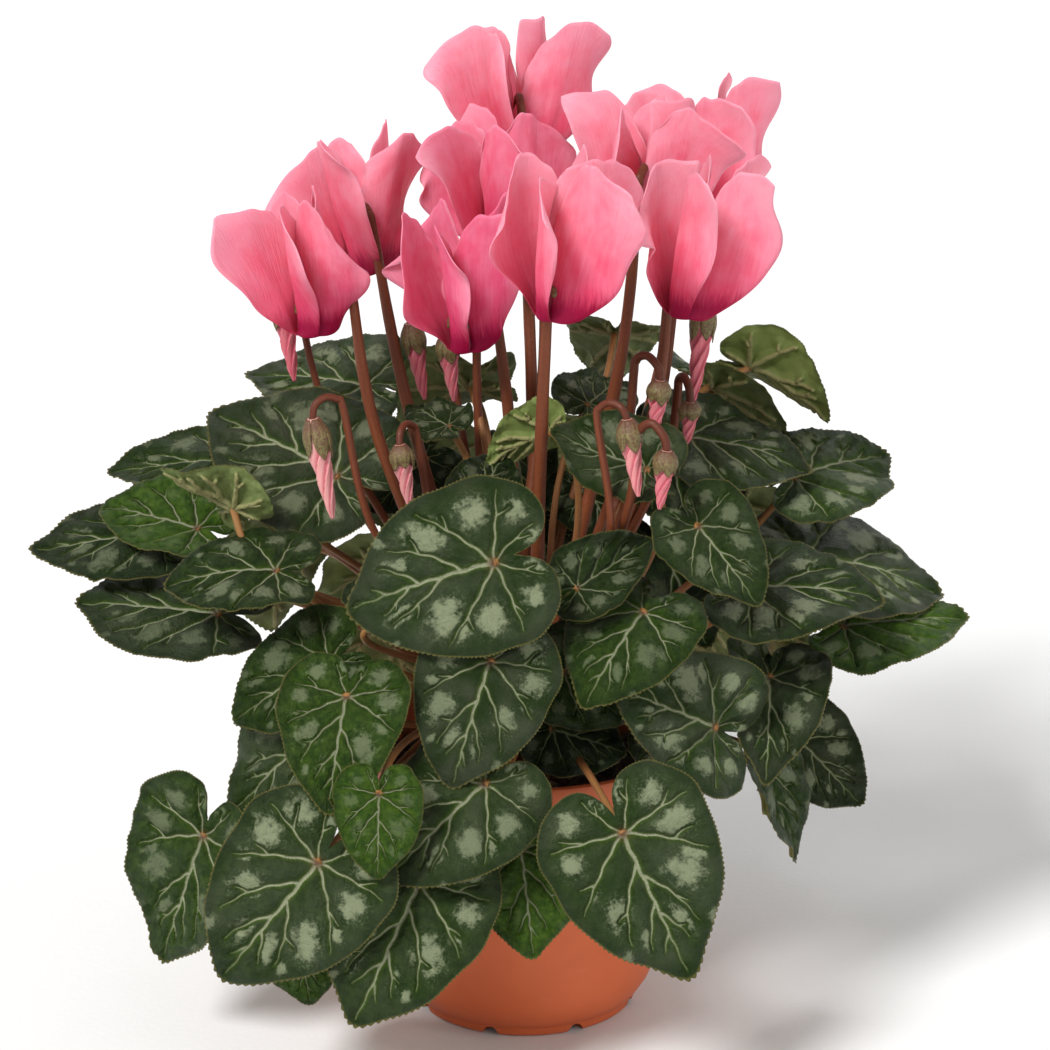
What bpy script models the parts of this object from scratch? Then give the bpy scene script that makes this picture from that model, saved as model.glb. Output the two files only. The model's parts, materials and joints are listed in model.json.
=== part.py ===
"""Florist's cyclamen in a moulded plastic pot, about 0.35 m tall.

The pot stands on Z = 0 with its axis on Z, and -Y is the plant's front. Every leaf is one
grown piece, blade and petiole. Every open flower is two pieces: the stem, which ends in a
hook and the calyx, and the corolla of five petals that reflex upwards from its mouth. A bud
is one piece. All stalks start on the corm, which sits half in the potting soil.

Lengths below are in millimetres and angles in degrees. MM turns them into metres.
"""
import math
from collections import namedtuple

import bmesh
import bpy
from mathutils import Vector

MM = 0.001
GAP = 0.3                    # clearance between pieces that touch on the real plant

# Pot
RIM_RADIUS = 60.0
POT_HEIGHT = 100.0
FOOT_RADIUS = 39.0
HEEL_RADIUS = 45.5           # where the flared heel meets the long taper
HEEL_HEIGHT = 13.0
WALL = 1.8
FLOOR = 2.0
LIP_HEIGHT = 11.0
LIP_STEP = 1.8
POT_SEGMENTS = 48
DRAIN_HOLES = 8
DRAIN_RADIUS = 3.2

# Soil and corm
SOIL_LEVEL = 84.0
SOIL_MOUND = 4.0
CORM_RADIUS = 23.0
CORM_HEIGHT = 15.0           # half height of the flattened tuber
CORM_LEVEL = 86.0            # height of its widest ring

# Stalks
PETIOLE_RADIUS = 1.3
STEM_RADIUS = 2.4
HOOK_RADIUS = 1.5
STALK_SIDES = 6
ROOT_RINGS = ((125, 20.5), (165, 17.5), (999, 14.5))   # leaves below a height, ring radius
ROOT_SPACING = 3.6

# Leaf: spokes from the junction of the petiole to the margin, 0 at the tip, as shares of
# the length from the junction to the tip.
SPOKES = ((0, 1.0), (25, 0.75), (52, 0.585), (80, 0.53), (108, 0.505), (136, 0.455),
          (160, 0.36), (180, 0.08), (200, 0.36), (224, 0.455), (252, 0.505), (280, 0.53),
          (308, 0.585), (335, 0.75))
INNER_SHARE = 0.5            # the ring of vertices half way out to the margin
BLADE_THICKNESS = 1.1
PETIOLE_END = 3.2            # how far under the junction the round petiole begins
CREASE = 0.08                # how softly the halves fold, as a share of the leaf's length

# Corolla of a flower of scale 1
TUBE_HEIGHT = 10.0
HOOK_REACH = 13.5            # from the flower's axis to the falling part of its stem
PETAL_CENTRES = (56, 118, 180, 242, 304)
PETAL_GAP = 24               # degrees of the mouth left free beside the stem
PETAL_PATH = ((12.2, -1.0), (13.8, 9.0), (15.0, 22.0), (15.2, 35.0), (13.8, 46.0))
PETAL_WIDTHS = (9.5, 16.0, 22.5, 22.5, 9.0)
PETAL_THICKNESS = 0.9

Leaf = namedtuple("Leaf", "at size face turn fold droop arch wave")
Flower = namedtuple("Flower", "at scale lean hook spread twist root")
Bud = namedtuple("Bud", "at length hang hook arch root")

# at: junction of petiole and blade. size: junction to tip. face: azimuth and elevation that
# the upper side looks to. turn: the tip's swing anticlockwise from straight down the slope.
# fold: each half raised about the midrib. droop and arch: bend along and across the blade.
# wave: height of the ripple at the margin.
LEAVES = {
    "leaf_01": Leaf((-10, -86, 188), 55, (-100, 28), -72, 4, 25, 15, 1.0),
    "leaf_02": Leaf((-11, -93, 157), 44, (-96, 28), -16, 0, 25, 25, 1.0),
    "leaf_03": Leaf((13, -69, 145), 34, (-78, 26), 68, 4, 20, 20, 1.0),
    "leaf_04": Leaf((62, -72, 127), 46, (-52, 12), -120, 16, 15, 0, 1.5),
    "leaf_05": Leaf((82, -38, 132), 42, (-66, 56), -22, 34, 20, 0, 1.5),
    "leaf_06": Leaf((77, -36, 106), 46, (-25, 22), 8, 24, 10, 0, 2.0),
    "leaf_07": Leaf((109, -12, 141), 48, (-78, 70), 96, 4, 10, 15, 1.0),
    "leaf_08": Leaf((74, -47, 167), 48, (-88, 68), 94, 0, 20, 20, 1.0),
    "leaf_09": Leaf((97, 2, 160), 57, (-72, 68), 84, 0, 40, 10, 1.0),
    "leaf_10": Leaf((93, 14, 186), 50, (-70, 70), 112, 0, 20, 15, 1.5),
    "leaf_11": Leaf((56, -64, 193), 34, (-85, 44), 34, 12, 25, 0, 1.5),
    "leaf_12": Leaf((39, -49, 208), 34, (-85, 48), -112, 20, -10, 0, 2.0),
    "leaf_13": Leaf((38, -73, 167), 41, (-88, 60), -32, 0, 25, 20, 1.0),
    "leaf_14": Leaf((-65, -58, 145), 40, (-112, 42), -52, 6, 25, 15, 1.0),
    "leaf_15": Leaf((-57, -92, 145), 41, (-96, 48), -4, 10, 20, 5, 1.5),
    "leaf_16": Leaf((-66, -60, 122), 48, (-118, 36), -44, 0, 25, 20, 1.0),
    "leaf_17": Leaf((-66, -114, 97), 54, (-98, 12), -38, 2, 10, 15, 1.0),
    "leaf_18": Leaf((-108, -54, 81), 52, (-128, 10), -18, 12, 10, 0, 1.0),
    "leaf_19": Leaf((-46, -116, 121), 28, (-96, 16), 0, 6, 15, 10, 1.0),
    "leaf_20": Leaf((-34, -104, 86), 53, (-84, 24), -27, 4, 15, 10, 1.0),
    "leaf_21": Leaf((-13, -102, 119), 46, (-94, 32), -45, 0, 20, 25, 1.0),
    "leaf_22": Leaf((-1, -92, 92), 38, (-88, 12), 6, 6, 15, 10, 1.0),
    "leaf_23": Leaf((31, -112, 106), 54, (-84, 14), 24, 2, 10, 15, 1.0),
    "leaf_24": Leaf((-64, -6, 193), 58, (-92, 52), -125, 4, 20, 15, 1.0),
    "leaf_25": Leaf((-82, -48, 173), 41, (-96, 68), -90, 4, 25, 15, 1.0),
    "leaf_26": Leaf((-104, -22, 149), 53, (-96, 70), -98, 4, 10, 15, 1.0),
    "leaf_27": Leaf((-126, 6, 168), 46, (-90, 70), -88, 2, 20, 15, 1.0),
    "leaf_28": Leaf((-106, 32, 187), 42, (-95, 74), -90, 2, 20, 10, 1.0),
    "leaf_29": Leaf((-57, 69, 204), 50, (-95, 68), -108, 4, 20, 10, 1.5),
    "leaf_30": Leaf((-22, 55, 212), 40, (102, 50), 20, 10, 20, 0, 1.5),
    "leaf_31": Leaf((66, 44, 211), 46, (38, 50), 0, 10, 25, 0, 1.5),
    "leaf_32": Leaf((-48, 96, 130), 54, (115, 36), 0, 4, 15, 10, 1.0),
    "leaf_33": Leaf((56, 92, 124), 54, (60, 34), 0, 4, 15, 10, 1.0),
}

# at: centre of the mouth, which looks down. lean: azimuth and angle by which the top of the
# flower leans over. hook: azimuth of the side on which the stem comes up. spread: outward
# shift of the petals' tips. root: azimuth and radius of the stem's start on the corm.
FLOWERS = {
    "01": Flower((-69, -15, 247), 1.00, (200, 7), -10, 1, 22, (206, 11)),
    "02": Flower((-53, 32, 256), 1.00, (160, 10), -72, 1, 22, (158, 11)),
    "03": Flower((-2, 80, 283), 1.06, (110, 6), -84, 5, 24, (78, 11)),
    "04": Flower((-8, 34, 262), 1.02, (150, 5), 15, 3, 24, (120, 5.5)),
    "05": Flower((-18, -12, 241), 1.04, (200, 8), 50, -1, 20, (240, 5.5)),
    "06": Flower((11, -60, 263), 1.04, (0, 3), 105, 2, 24, (280, 11)),
    "07": Flower((41, 12, 275), 0.96, (20, 4), 250, 0, 22, (0, 5.5)),
    "08": Flower((61, 54, 269), 1.00, (180, 3), 215, 2, 24, (40, 11)),
    "09": Flower((54, -32, 257), 1.04, (-10, 4), 120, 3, 24, (328, 11)),
}

# at: where the hook meets the calyx. hang: azimuth and angle by which the tip swings from
# straight down. arch: height of the hook. root: as for the flowers.
BUDS = {
    "01": Bud((-84, 30, 246), 30, (0, 8), 60, 8, (180, 11)),
    "02": Bud((-68, -50, 221), 30, (0, 10), 25, 10, (222, 11)),
    "03": Bud((-41, -36, 211), 20, (-30, 10), 60, 7, (250, 11)),
    "04": Bud((-39, 20, 238), 26, (0, 10), 0, 7, (130, 11)),
    "05": Bud((60, -6, 252), 34, (180, 6), 200, 7, (5, 11)),
    "06": Bud((33, -69, 227), 22, (-30, 10), 150, 9, (301, 11)),
}

UP = Vector((0.0, 0.0, 1.0))
LEAF_GREEN = (0.035, 0.09, 0.04)
YOUNG_GREEN = (0.07, 0.2, 0.04)
YOUNG_LEAVES = ("leaf_07", "leaf_19", "leaf_22", "leaf_15")


def principled(name, colour, roughness, metallic=0.0):
    """A plain Principled material."""
    material = bpy.data.materials.new(name)
    material.use_nodes = True
    shader = material.node_tree.nodes["Principled BSDF"]
    shader.inputs["Base Color"].default_value = (*colour, 1.0)
    shader.inputs["Roughness"].default_value = roughness
    shader.inputs["Metallic"].default_value = metallic
    material.diffuse_color = (*colour, 1.0)
    return material


def add_object(name, points, faces, material):
    """An object from points in millimetres, with its faces turned outwards."""
    mesh = bpy.data.meshes.new(name)
    mesh.from_pydata([tuple(Vector(p) * MM) for p in points], [], faces)
    shape = bmesh.new()
    shape.from_mesh(mesh)
    bmesh.ops.recalc_face_normals(shape, faces=shape.faces)
    shape.to_mesh(mesh)
    shape.free()
    mesh.shade_smooth()
    mesh.materials.append(material)
    thing = bpy.data.objects.new(name, mesh)
    bpy.context.scene.collection.objects.link(thing)
    return thing


def direction(azimuth, elevation):
    """Unit vector to an azimuth and elevation in degrees."""
    a = math.radians(azimuth)
    e = math.radians(elevation)
    return Vector((math.cos(e) * math.cos(a), math.cos(e) * math.sin(a), math.sin(e)))


# ---------------------------------------------------------------------------- stalks

def bezier(ends, handles, count):
    """Evenly stepped points of a cubic curve between two ends."""
    a, d = ends
    b, c = handles
    points = []
    for i in range(count):
        t = i / (count - 1)
        s = 1 - t
        points.append(a * s**3 + b * (3 * s * s * t) + c * (3 * s * t * t) + d * t**3)
    return points


def frames(points, side=None):
    """Two unit vectors across the path at each point, carried along it without twist."""
    count = len(points)
    across = []
    for i in range(count):
        ahead = points[min(i + 1, count - 1)] - points[max(i - 1, 0)]
        ahead.normalize()
        if side is None:
            side = ahead.cross(Vector((0.0, 1.0, 0.0)))
        side = side - ahead * side.dot(ahead)
        side.normalize()
        across.append((side.copy(), ahead.cross(side)))
    return across


def ring(centre, u, v, radius, sides):
    """Points of a circle about a centre."""
    points = []
    for k in range(sides):
        angle = 2 * math.pi * k / sides
        points.append(centre + u * (radius * math.cos(angle)) + v * (radius * math.sin(angle)))
    return points


def tube(points, radii):
    """A closed tube along the points: its vertices and faces."""
    vertices = []
    faces = []
    for centre, (u, v), radius in zip(points, frames(points), radii):
        vertices += ring(centre, u, v, radius, STALK_SIDES)
    n = STALK_SIDES
    for i in range(len(points) - 1):
        for k in range(n):
            a = i * n + k
            b = i * n + (k + 1) % n
            faces.append((a, b, b + n, a + n))
    faces.append(tuple(range(n)))
    faces.append(tuple(range(len(vertices) - n, len(vertices))))
    return vertices, faces


def stalk_start(azimuth, radius):
    """Where a stalk starts on the corm's dome, just clear of it, and the way it sets off."""
    rise = CORM_HEIGHT * math.sqrt(1 - (radius / CORM_RADIUS) ** 2)
    out = direction(azimuth, 0)
    normal = (out * (radius / CORM_RADIUS**2) + UP * (rise / CORM_HEIGHT**2)).normalized()
    point = out * radius + UP * (CORM_LEVEL + rise) + normal * (2 * GAP)
    return point, (normal + UP * 0.35).normalized()


def hooked_path(top, frame, drop, root, reach, arch):
    """From the corm up to a hook that turns over and down to the point top."""
    x, z = frame
    start, rising = stalk_start(*root)
    half = reach / 2
    shoulder = top + x * reach - z * drop
    length = (shoulder - start).length
    handles = (start + rising * length * 0.35, shoulder - z * length * 0.3)
    path = bezier((start, shoulder), handles, 7)
    for turn in (0, 45, 90, 135, 180):
        angle = math.radians(turn)
        middle = top + x * half + z * arch
        path.append(middle + x * (half * math.cos(angle)) + z * (half * math.sin(angle)))
    return path


# ---------------------------------------------------------------------------- flowers

def flower_axes(lean, hook):
    """Axes of a flower: x towards the stem's side, y across, z up along its own axis."""
    z = direction(lean[0], 90 - lean[1])
    x = direction(hook, 0)
    x = (x - z * x.dot(z)).normalized()
    return x, z.cross(x), z


def build_flower_stem(name, spec, material):
    """Peduncle, hook and calyx as one tube."""
    x, y, z = flower_axes(spec.lean, spec.hook)
    at = Vector(spec.at)
    size = spec.scale
    seat = at + z * ((TUBE_HEIGHT + GAP) * size)
    path = hooked_path(seat, (x, z), 26 * size, spec.root, HOOK_REACH * size, 5 * size)
    radii = [STEM_RADIUS * share for share in (0.7, 0.95, 1.0, 0.95, 0.9, 0.85, 0.8)]
    radii += [HOOK_RADIUS] * 5
    for height, radius in ((3.6, 2.2), (1.6, 3.4), (0.0, 3.8)):
        path.append(seat + z * (height * size))
        radii.append(radius * size)
    vertices, faces = tube(path, radii)
    return add_object(name, vertices, faces, material)


def petal_rows(centre_angle, twist, spread):
    """Rows across one petal, in the flower's own axes: outer side, then inner side."""
    middle = math.radians(centre_angle)
    out = Vector((math.cos(middle), math.sin(middle), 0.0))
    along = Vector((-math.sin(middle), math.cos(middle), 0.0))
    rows = []
    last = len(PETAL_PATH) - 1
    for i, ((radius, height), width) in enumerate(zip(PETAL_PATH, PETAL_WIDTHS)):
        share = i / last
        swing = math.radians(twist * min(1.0, 2.0 * share))
        wide = along * math.cos(swing) + out * math.sin(swing)
        thick = out * math.cos(swing) - along * math.sin(swing)
        middle_point = out * (radius + spread * share) + Vector((0.0, 0.0, height))
        outer = []
        inner = []
        for across in (-1.0, -0.36, 0.36, 1.0):
            hollow = 1.6 * (across * across) * min(1.0, share * 3)
            point = middle_point + wide * (across * width / 2) - thick * hollow
            point.z -= 3.0 * across * across * share
            half = PETAL_THICKNESS / 2
            outer.append(point + thick * half)
            inner.append(point - thick * half)
        rows.append((outer, inner))
    return rows


def mouth_angles():
    """Angles round the mouth: four for each petal, its ends shared with its neighbours."""
    step = (360 - PETAL_GAP) / 15
    return [PETAL_GAP / 2 + step * k for k in range(16)]


def build_corolla(name, spec, material):
    """A cup, open at its mouth, with five petals reflexed from its edge."""
    x, y, z = flower_axes(spec.lean, spec.hook)
    at = Vector(spec.at)
    rings = ((3.2, 9.8), (7.2, 6.8), (9.9, 3.0), (10.7, 0.2), (9.5, -1.3))
    count = 16
    local = []
    for radius, height in rings:
        for angle in mouth_angles():
            a = math.radians(angle)
            local.append(Vector((radius * math.cos(a), radius * math.sin(a), height)))
    # The outside of the cup runs from its crown to the outer lip, then its inside goes back up.
    outer_lip = 3 * count
    inner_lip = 4 * count
    inside = []
    for radius, height in ((7.6, 3.0), (4.2, 7.4)):
        inside.append(len(local))
        for angle in mouth_angles():
            a = math.radians(angle)
            local.append(Vector((radius * math.cos(a), radius * math.sin(a), height)))
    faces = [tuple(range(count)), tuple(inside[1] + k for k in range(count))]

    def band(a, b):
        for k in range(count):
            n = (k + 1) % count
            faces.append((a + k, a + n, b + n, b + k))

    for level in range(3):
        band(level * count, (level + 1) * count)
    band(inner_lip, inside[0])
    band(inside[0], inside[1])
    faces.append((outer_lip + 15, outer_lip, inner_lip, inner_lip + 15))
    for number, centre_angle in enumerate(PETAL_CENTRES):
        first = 3 * number
        outer_row = [inner_lip + first + k for k in range(4)]
        inner_row = [outer_lip + first + k for k in range(4)]
        for outer, inner in petal_rows(centre_angle, spec.twist, spec.spread):
            base = len(local)
            local += outer + inner
            next_outer = [base + k for k in range(4)]
            next_inner = [base + 4 + k for k in range(4)]
            for k in range(3):
                faces.append((outer_row[k], outer_row[k + 1], next_outer[k + 1], next_outer[k]))
                faces.append((inner_row[k], inner_row[k + 1], next_inner[k + 1], next_inner[k]))
            for k in (0, 3):
                faces.append((outer_row[k], next_outer[k], next_inner[k], inner_row[k]))
            outer_row, inner_row = next_outer, next_inner
        for k in range(3):
            faces.append((outer_row[k], outer_row[k + 1], inner_row[k + 1], inner_row[k]))
    points = [at + (x * p.x + y * p.y + z * p.z) * spec.scale for p in local]
    return add_object(name, points, faces, material)


def build_bud(name, spec, material):
    """Stalk, hook, calyx and furled petals as one tube that ends in the bud's tip."""
    z = -direction(spec.hang[0], spec.hang[1] - 90)
    x = direction(spec.hook, 0)
    x = (x - z * x.dot(z)).normalized()
    at = Vector(spec.at)
    path = hooked_path(at, (x, z), 22, spec.root, 11, spec.arch - 5.5)
    radii = [1.5] * 4 + [1.3] * 3 + [1.2] * 5
    for share, radius in ((0.04, 2.6), (0.17, 3.9), (0.36, 4.0), (0.5, 3.6), (0.75, 3.0), (1.0, 1.0)):
        path.append(at - z * (spec.length * share))
        radii.append(radius)
    vertices, faces = tube(path, radii)
    return add_object(name, vertices, faces, material)


# ---------------------------------------------------------------------------- leaves

def bent(distance, degrees, size):
    """A length laid along an arc that turns by so many degrees over the leaf's size."""
    if abs(degrees) < 0.5:
        return distance, 0.0
    radius = size / math.radians(degrees)
    angle = distance / radius
    return radius * math.sin(angle), -radius * (1 - math.cos(angle))


def blade_point(spec, angle, share):
    """A point of the upper side: angle from the tip, and share of the way to the margin."""
    reach = dict(SPOKES)[angle] * spec.size * share
    a = math.radians(angle)
    s = reach * math.cos(a)
    t = reach * math.sin(a)
    forward, drop = bent(s, spec.droop, spec.size)
    fold = math.radians(spec.fold)
    crease = CREASE * spec.size
    rise = (math.hypot(t, crease) - crease) * math.sin(fold)
    side, sag = bent(t * math.cos(fold), spec.arch, spec.size)
    ripple = spec.wave * share**2 * math.sin(3 * a + spec.size)
    return Vector((forward, side, drop + sag + rise + ripple))


def bridge(first, second):
    """Triangles between two loops that go round the same way and start together."""
    n, m = len(first), len(second)
    i = j = 0
    faces = []
    while i < n or j < m:
        if j == m or (i < n and (i + 1) / n <= (j + 1) / m):
            faces.append((first[i % n], first[(i + 1) % n], second[j % m]))
            i += 1
        else:
            faces.append((first[i % n], second[(j + 1) % m], second[j % m]))
            j += 1
    return faces


def build_leaf(name, spec, root, material):
    """Blade and petiole: a lens-shaped blade closed onto the end of the petiole's tube."""
    face = direction(*spec.face)
    slope = direction(spec.face[0], spec.face[1] - 90)
    turn = math.radians(spec.turn)
    ahead = slope * math.cos(turn) + face.cross(slope) * math.sin(turn)
    left = face.cross(ahead)
    at = Vector(spec.at)
    under = face * BLADE_THICKNESS
    count = len(SPOKES)
    inner = []
    margin = []
    for angle, _ in SPOKES:
        for loop, share in ((inner, INNER_SHARE), (margin, 1.0)):
            p = blade_point(spec, angle, share)
            loop.append(at + ahead * p.x + left * p.y + face * p.z)
    points = [at] + inner + margin + [p - under for p in inner]
    upper, edge, lower = 1, 1 + count, 1 + 2 * count
    faces = []
    for k in range(count):
        n = (k + 1) % count
        faces.append((0, upper + k, upper + n))
        faces.append((upper + k, edge + k, edge + n, upper + n))
        faces.append((edge + k, lower + k, lower + n, edge + n))

    start, rising = stalk_start(*root)
    arrive = (ahead * 0.6 + face * 0.8).normalized()
    end = at - arrive * PETIOLE_END
    length = (end - start).length
    handles = (end - arrive * length * 0.3, start + rising * length * 0.38)
    path = bezier((end, start), handles, 7)
    sides = STALK_SIDES
    base = len(points)
    for centre, (u, v) in zip(path, frames(path, ahead)):
        points += ring(centre, u, -v, PETIOLE_RADIUS, sides)
    lower_loop = [lower + k for k in range(count)]
    faces += bridge(lower_loop, [base + k for k in range(sides)])
    for i in range(len(path) - 1):
        for k in range(sides):
            a = base + i * sides + k
            b = base + i * sides + (k + 1) % sides
            faces.append((a, b, b + sides, a + sides))
    faces.append(tuple(range(len(points) - sides, len(points))))
    return add_object(name, points, faces, material)


def petiole_roots():
    """Starts of the petioles: low leaves start furthest out, in their order round the corm."""
    rings = {radius: [] for _, radius in ROOT_RINGS}
    for name, spec in LEAVES.items():
        radius = next(r for height, r in ROOT_RINGS if spec.at[2] < height)
        rings[radius].append([math.degrees(math.atan2(spec.at[1], spec.at[0])) % 360, name])
    roots = {}
    for radius, members in rings.items():
        members.sort()
        apart = math.degrees(ROOT_SPACING / radius)
        for _ in range(60):
            for one, two in zip(members, members[1:] + members[:1]):
                short = apart - (two[0] - one[0]) % 360
                if 0 < short <= apart:
                    one[0] -= short / 2
                    two[0] += short / 2
        for azimuth, name in members:
            roots[name] = (azimuth, radius)
    return roots


# ---------------------------------------------------------------------------- pot, soil, corm

def turned(name, profile, material):
    """A solid of revolution from a profile that starts and ends on the axis."""
    vertices = [(0.0, 0.0, profile[0][1])]
    faces = []
    n = POT_SEGMENTS
    inside = profile[1:-1]
    for radius, height in inside:
        for k in range(n):
            a = 2 * math.pi * k / n
            vertices.append((radius * math.cos(a), radius * math.sin(a), height))
    vertices.append((0.0, 0.0, profile[-1][1]))
    top = len(vertices) - 1
    last = 1 + n * (len(inside) - 1)
    for k in range(n):
        m = (k + 1) % n
        faces.append((0, 1 + m, 1 + k))
        faces.append((top, last + k, last + m))
        for level in range(len(inside) - 1):
            a = 1 + level * n
            faces.append((a + k, a + m, a + n + m, a + n + k))
    return add_object(name, vertices, faces, material)


def wall_radius(height):
    """Outside of the pot's tapered wall."""
    share = (height - HEEL_HEIGHT) / (POT_HEIGHT - HEEL_HEIGHT)
    return HEEL_RADIUS + share * (RIM_RADIUS - LIP_STEP - HEEL_RADIUS)


def build_pot():
    """Moulded pot: flat underside, low foot, flared heel, tapered wall and a stepped lip."""
    lip = POT_HEIGHT - LIP_HEIGHT
    inner_floor = FOOT_RADIUS - WALL - 1.0
    profile = [
        (0.0, 0.0), (FOOT_RADIUS - 1.0, 0.0), (FOOT_RADIUS, 1.0), (FOOT_RADIUS, 3.0),
        (FOOT_RADIUS + 1.4, 3.8), (HEEL_RADIUS - 1.2, HEEL_HEIGHT - 3.0),
        (HEEL_RADIUS, HEEL_HEIGHT), (wall_radius(lip), lip),
        (wall_radius(lip) + LIP_STEP, lip + 0.8), (RIM_RADIUS, POT_HEIGHT - 1.0),
        (RIM_RADIUS - 1.0, POT_HEIGHT), (RIM_RADIUS - LIP_STEP - 0.6, POT_HEIGHT),
        (RIM_RADIUS - LIP_STEP - 1.4, POT_HEIGHT - 1.0), (wall_radius(lip) - WALL, lip),
        (HEEL_RADIUS - WALL, HEEL_HEIGHT + 1.0), (inner_floor, FLOOR + 2.0),
        (inner_floor - 2.0, FLOOR), (0.0, FLOOR),
    ]
    pot = turned("pot", profile, principled("terracotta_plastic", (0.47, 0.12, 0.045), 0.4))
    pot.data.set_sharp_from_angle(angle=math.radians(35))
    for k in range(DRAIN_HOLES):
        azimuth = 360 * (k + 0.6) / DRAIN_HOLES
        cut_hole(pot, "drain_cutter_%d" % k, azimuth)


def cut_hole(pot, name, azimuth):
    """A drain hole through the corner of the foot, sloping outwards."""
    shape = bmesh.new()
    bmesh.ops.create_cone(shape, cap_ends=True, segments=12, radius1=DRAIN_RADIUS * MM,
                          radius2=DRAIN_RADIUS * MM, depth=14 * MM)
    mesh = bpy.data.meshes.new(name)
    shape.to_mesh(mesh)
    shape.free()
    cutter = bpy.data.objects.new(name, mesh)
    bpy.context.scene.collection.objects.link(cutter)
    cutter.location = (direction(azimuth, 0) * (FOOT_RADIUS - 3.0) + UP * 1.5) * MM
    cutter.rotation_euler = (0.0, math.radians(135), math.radians(azimuth))
    cutter.hide_render = True
    cutter.display_type = "WIRE"
    cut = pot.modifiers.new(name, "BOOLEAN")
    cut.operation = "DIFFERENCE"
    cut.object = cutter


def build_soil():
    """Soil that fills the pot, with a low mound and a hollow that holds the corm."""
    inner_floor = FOOT_RADIUS - WALL - 1.0
    bed = FLOOR + GAP
    profile = [
        (0.0, bed), (inner_floor - 2.2, bed), (inner_floor - GAP, FLOOR + 2.2),
        (HEEL_RADIUS - WALL - GAP, HEEL_HEIGHT + 1.2),
        (wall_radius(SOIL_LEVEL) - WALL - GAP, SOIL_LEVEL), (45.0, SOIL_LEVEL + 1.2),
        (35.0, SOIL_LEVEL + 0.6 * SOIL_MOUND),
    ]
    for degrees in (10, 0, -30, -60):
        a = math.radians(degrees)
        profile.append(((CORM_RADIUS + GAP + 0.2) * math.cos(a),
                        CORM_LEVEL + (CORM_HEIGHT + GAP + 0.2) * math.sin(a)))
    profile.append((0.0, CORM_LEVEL - CORM_HEIGHT - GAP - 0.2))
    turned("potting_soil", profile, principled("dark_peat", (0.018, 0.012, 0.009), 0.95))


def build_corm():
    """The flattened tuber that every stalk grows from."""
    profile = [(0.0, CORM_LEVEL - CORM_HEIGHT)]
    for degrees in (-60, -30, 0, 20, 40, 60, 75):
        a = math.radians(degrees)
        profile.append((CORM_RADIUS * math.cos(a), CORM_LEVEL + CORM_HEIGHT * math.sin(a)))
    profile.append((0.0, CORM_LEVEL + CORM_HEIGHT))
    turned("corm", profile, principled("corm_skin", (0.09, 0.045, 0.025), 0.85))


def main():
    for thing in list(bpy.context.scene.objects):
        bpy.data.objects.remove(thing, do_unlink=True)
    build_pot()
    build_soil()
    build_corm()
    stem_skin = (0.2, 0.055, 0.04)
    for number, spec in FLOWERS.items():
        name = "flower_stem_" + number
        build_flower_stem(name, spec, principled(name, stem_skin, 0.5))
        name = "flower_" + number
        build_corolla(name, spec, principled(name, (0.85, 0.22, 0.3), 0.55))
    for number, spec in BUDS.items():
        name = "bud_" + number
        build_bud(name, spec, principled(name, (0.5, 0.16, 0.16), 0.55))
    roots = petiole_roots()
    for name, spec in LEAVES.items():
        green = YOUNG_GREEN if name in YOUNG_LEAVES else LEAF_GREEN
        build_leaf(name, spec, roots[name], principled(name, green, 0.45))


main()
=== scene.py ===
"""Looks of the potted cyclamen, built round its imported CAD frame.

Every leaf, stalk, flower and bud is read from its CAD node: the corners of the node's mesh
give the skeleton, and a fine surface is laid over it. More leaves and buds, which the CAD
model has no room for, fill the crown. Tables and shape rules give lengths in millimetres and
are scaled by MM; points of a mesh are in metres.
"""

import json
import math

import bmesh
import bpy
import numpy as np
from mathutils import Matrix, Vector
from mathutils.geometry import delaunay_2d_cdt

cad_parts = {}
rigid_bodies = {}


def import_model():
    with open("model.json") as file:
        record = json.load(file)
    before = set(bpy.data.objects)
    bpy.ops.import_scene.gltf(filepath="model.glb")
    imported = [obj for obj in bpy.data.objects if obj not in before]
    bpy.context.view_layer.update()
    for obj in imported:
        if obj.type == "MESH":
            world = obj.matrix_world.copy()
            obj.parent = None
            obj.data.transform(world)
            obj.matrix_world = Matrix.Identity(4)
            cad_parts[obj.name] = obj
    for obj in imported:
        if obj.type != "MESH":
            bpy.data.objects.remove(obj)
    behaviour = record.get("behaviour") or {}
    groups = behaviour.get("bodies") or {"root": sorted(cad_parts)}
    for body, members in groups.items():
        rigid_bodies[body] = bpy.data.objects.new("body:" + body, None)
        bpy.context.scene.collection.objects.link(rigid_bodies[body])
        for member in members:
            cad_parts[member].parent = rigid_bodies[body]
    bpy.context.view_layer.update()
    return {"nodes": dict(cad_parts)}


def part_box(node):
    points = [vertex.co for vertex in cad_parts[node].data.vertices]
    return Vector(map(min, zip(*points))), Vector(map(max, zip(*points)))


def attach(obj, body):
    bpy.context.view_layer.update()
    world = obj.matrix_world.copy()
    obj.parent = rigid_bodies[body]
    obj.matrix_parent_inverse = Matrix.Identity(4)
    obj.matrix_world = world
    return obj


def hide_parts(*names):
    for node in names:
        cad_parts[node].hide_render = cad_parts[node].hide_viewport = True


for thing in list(bpy.data.objects):
    bpy.data.objects.remove(thing, do_unlink=True)
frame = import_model()

MM = 0.001
UP = np.array([0.0, 0.0, 1.0])
TURN = 2 * math.pi
FINE = 1.0

# The blade's spokes, as the CAD leaf has them: angle from the tip, share of its length.
SPOKES = ((0, 1.0), (25, 0.75), (52, 0.585), (80, 0.53), (108, 0.505), (136, 0.455),
          (160, 0.36), (180, 0.08), (200, 0.36), (224, 0.455), (252, 0.505), (280, 0.53),
          (308, 0.585), (335, 0.75))
INNER_SHARE = 0.5
TIP_KNOT = 1 + len(SPOKES)
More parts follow.
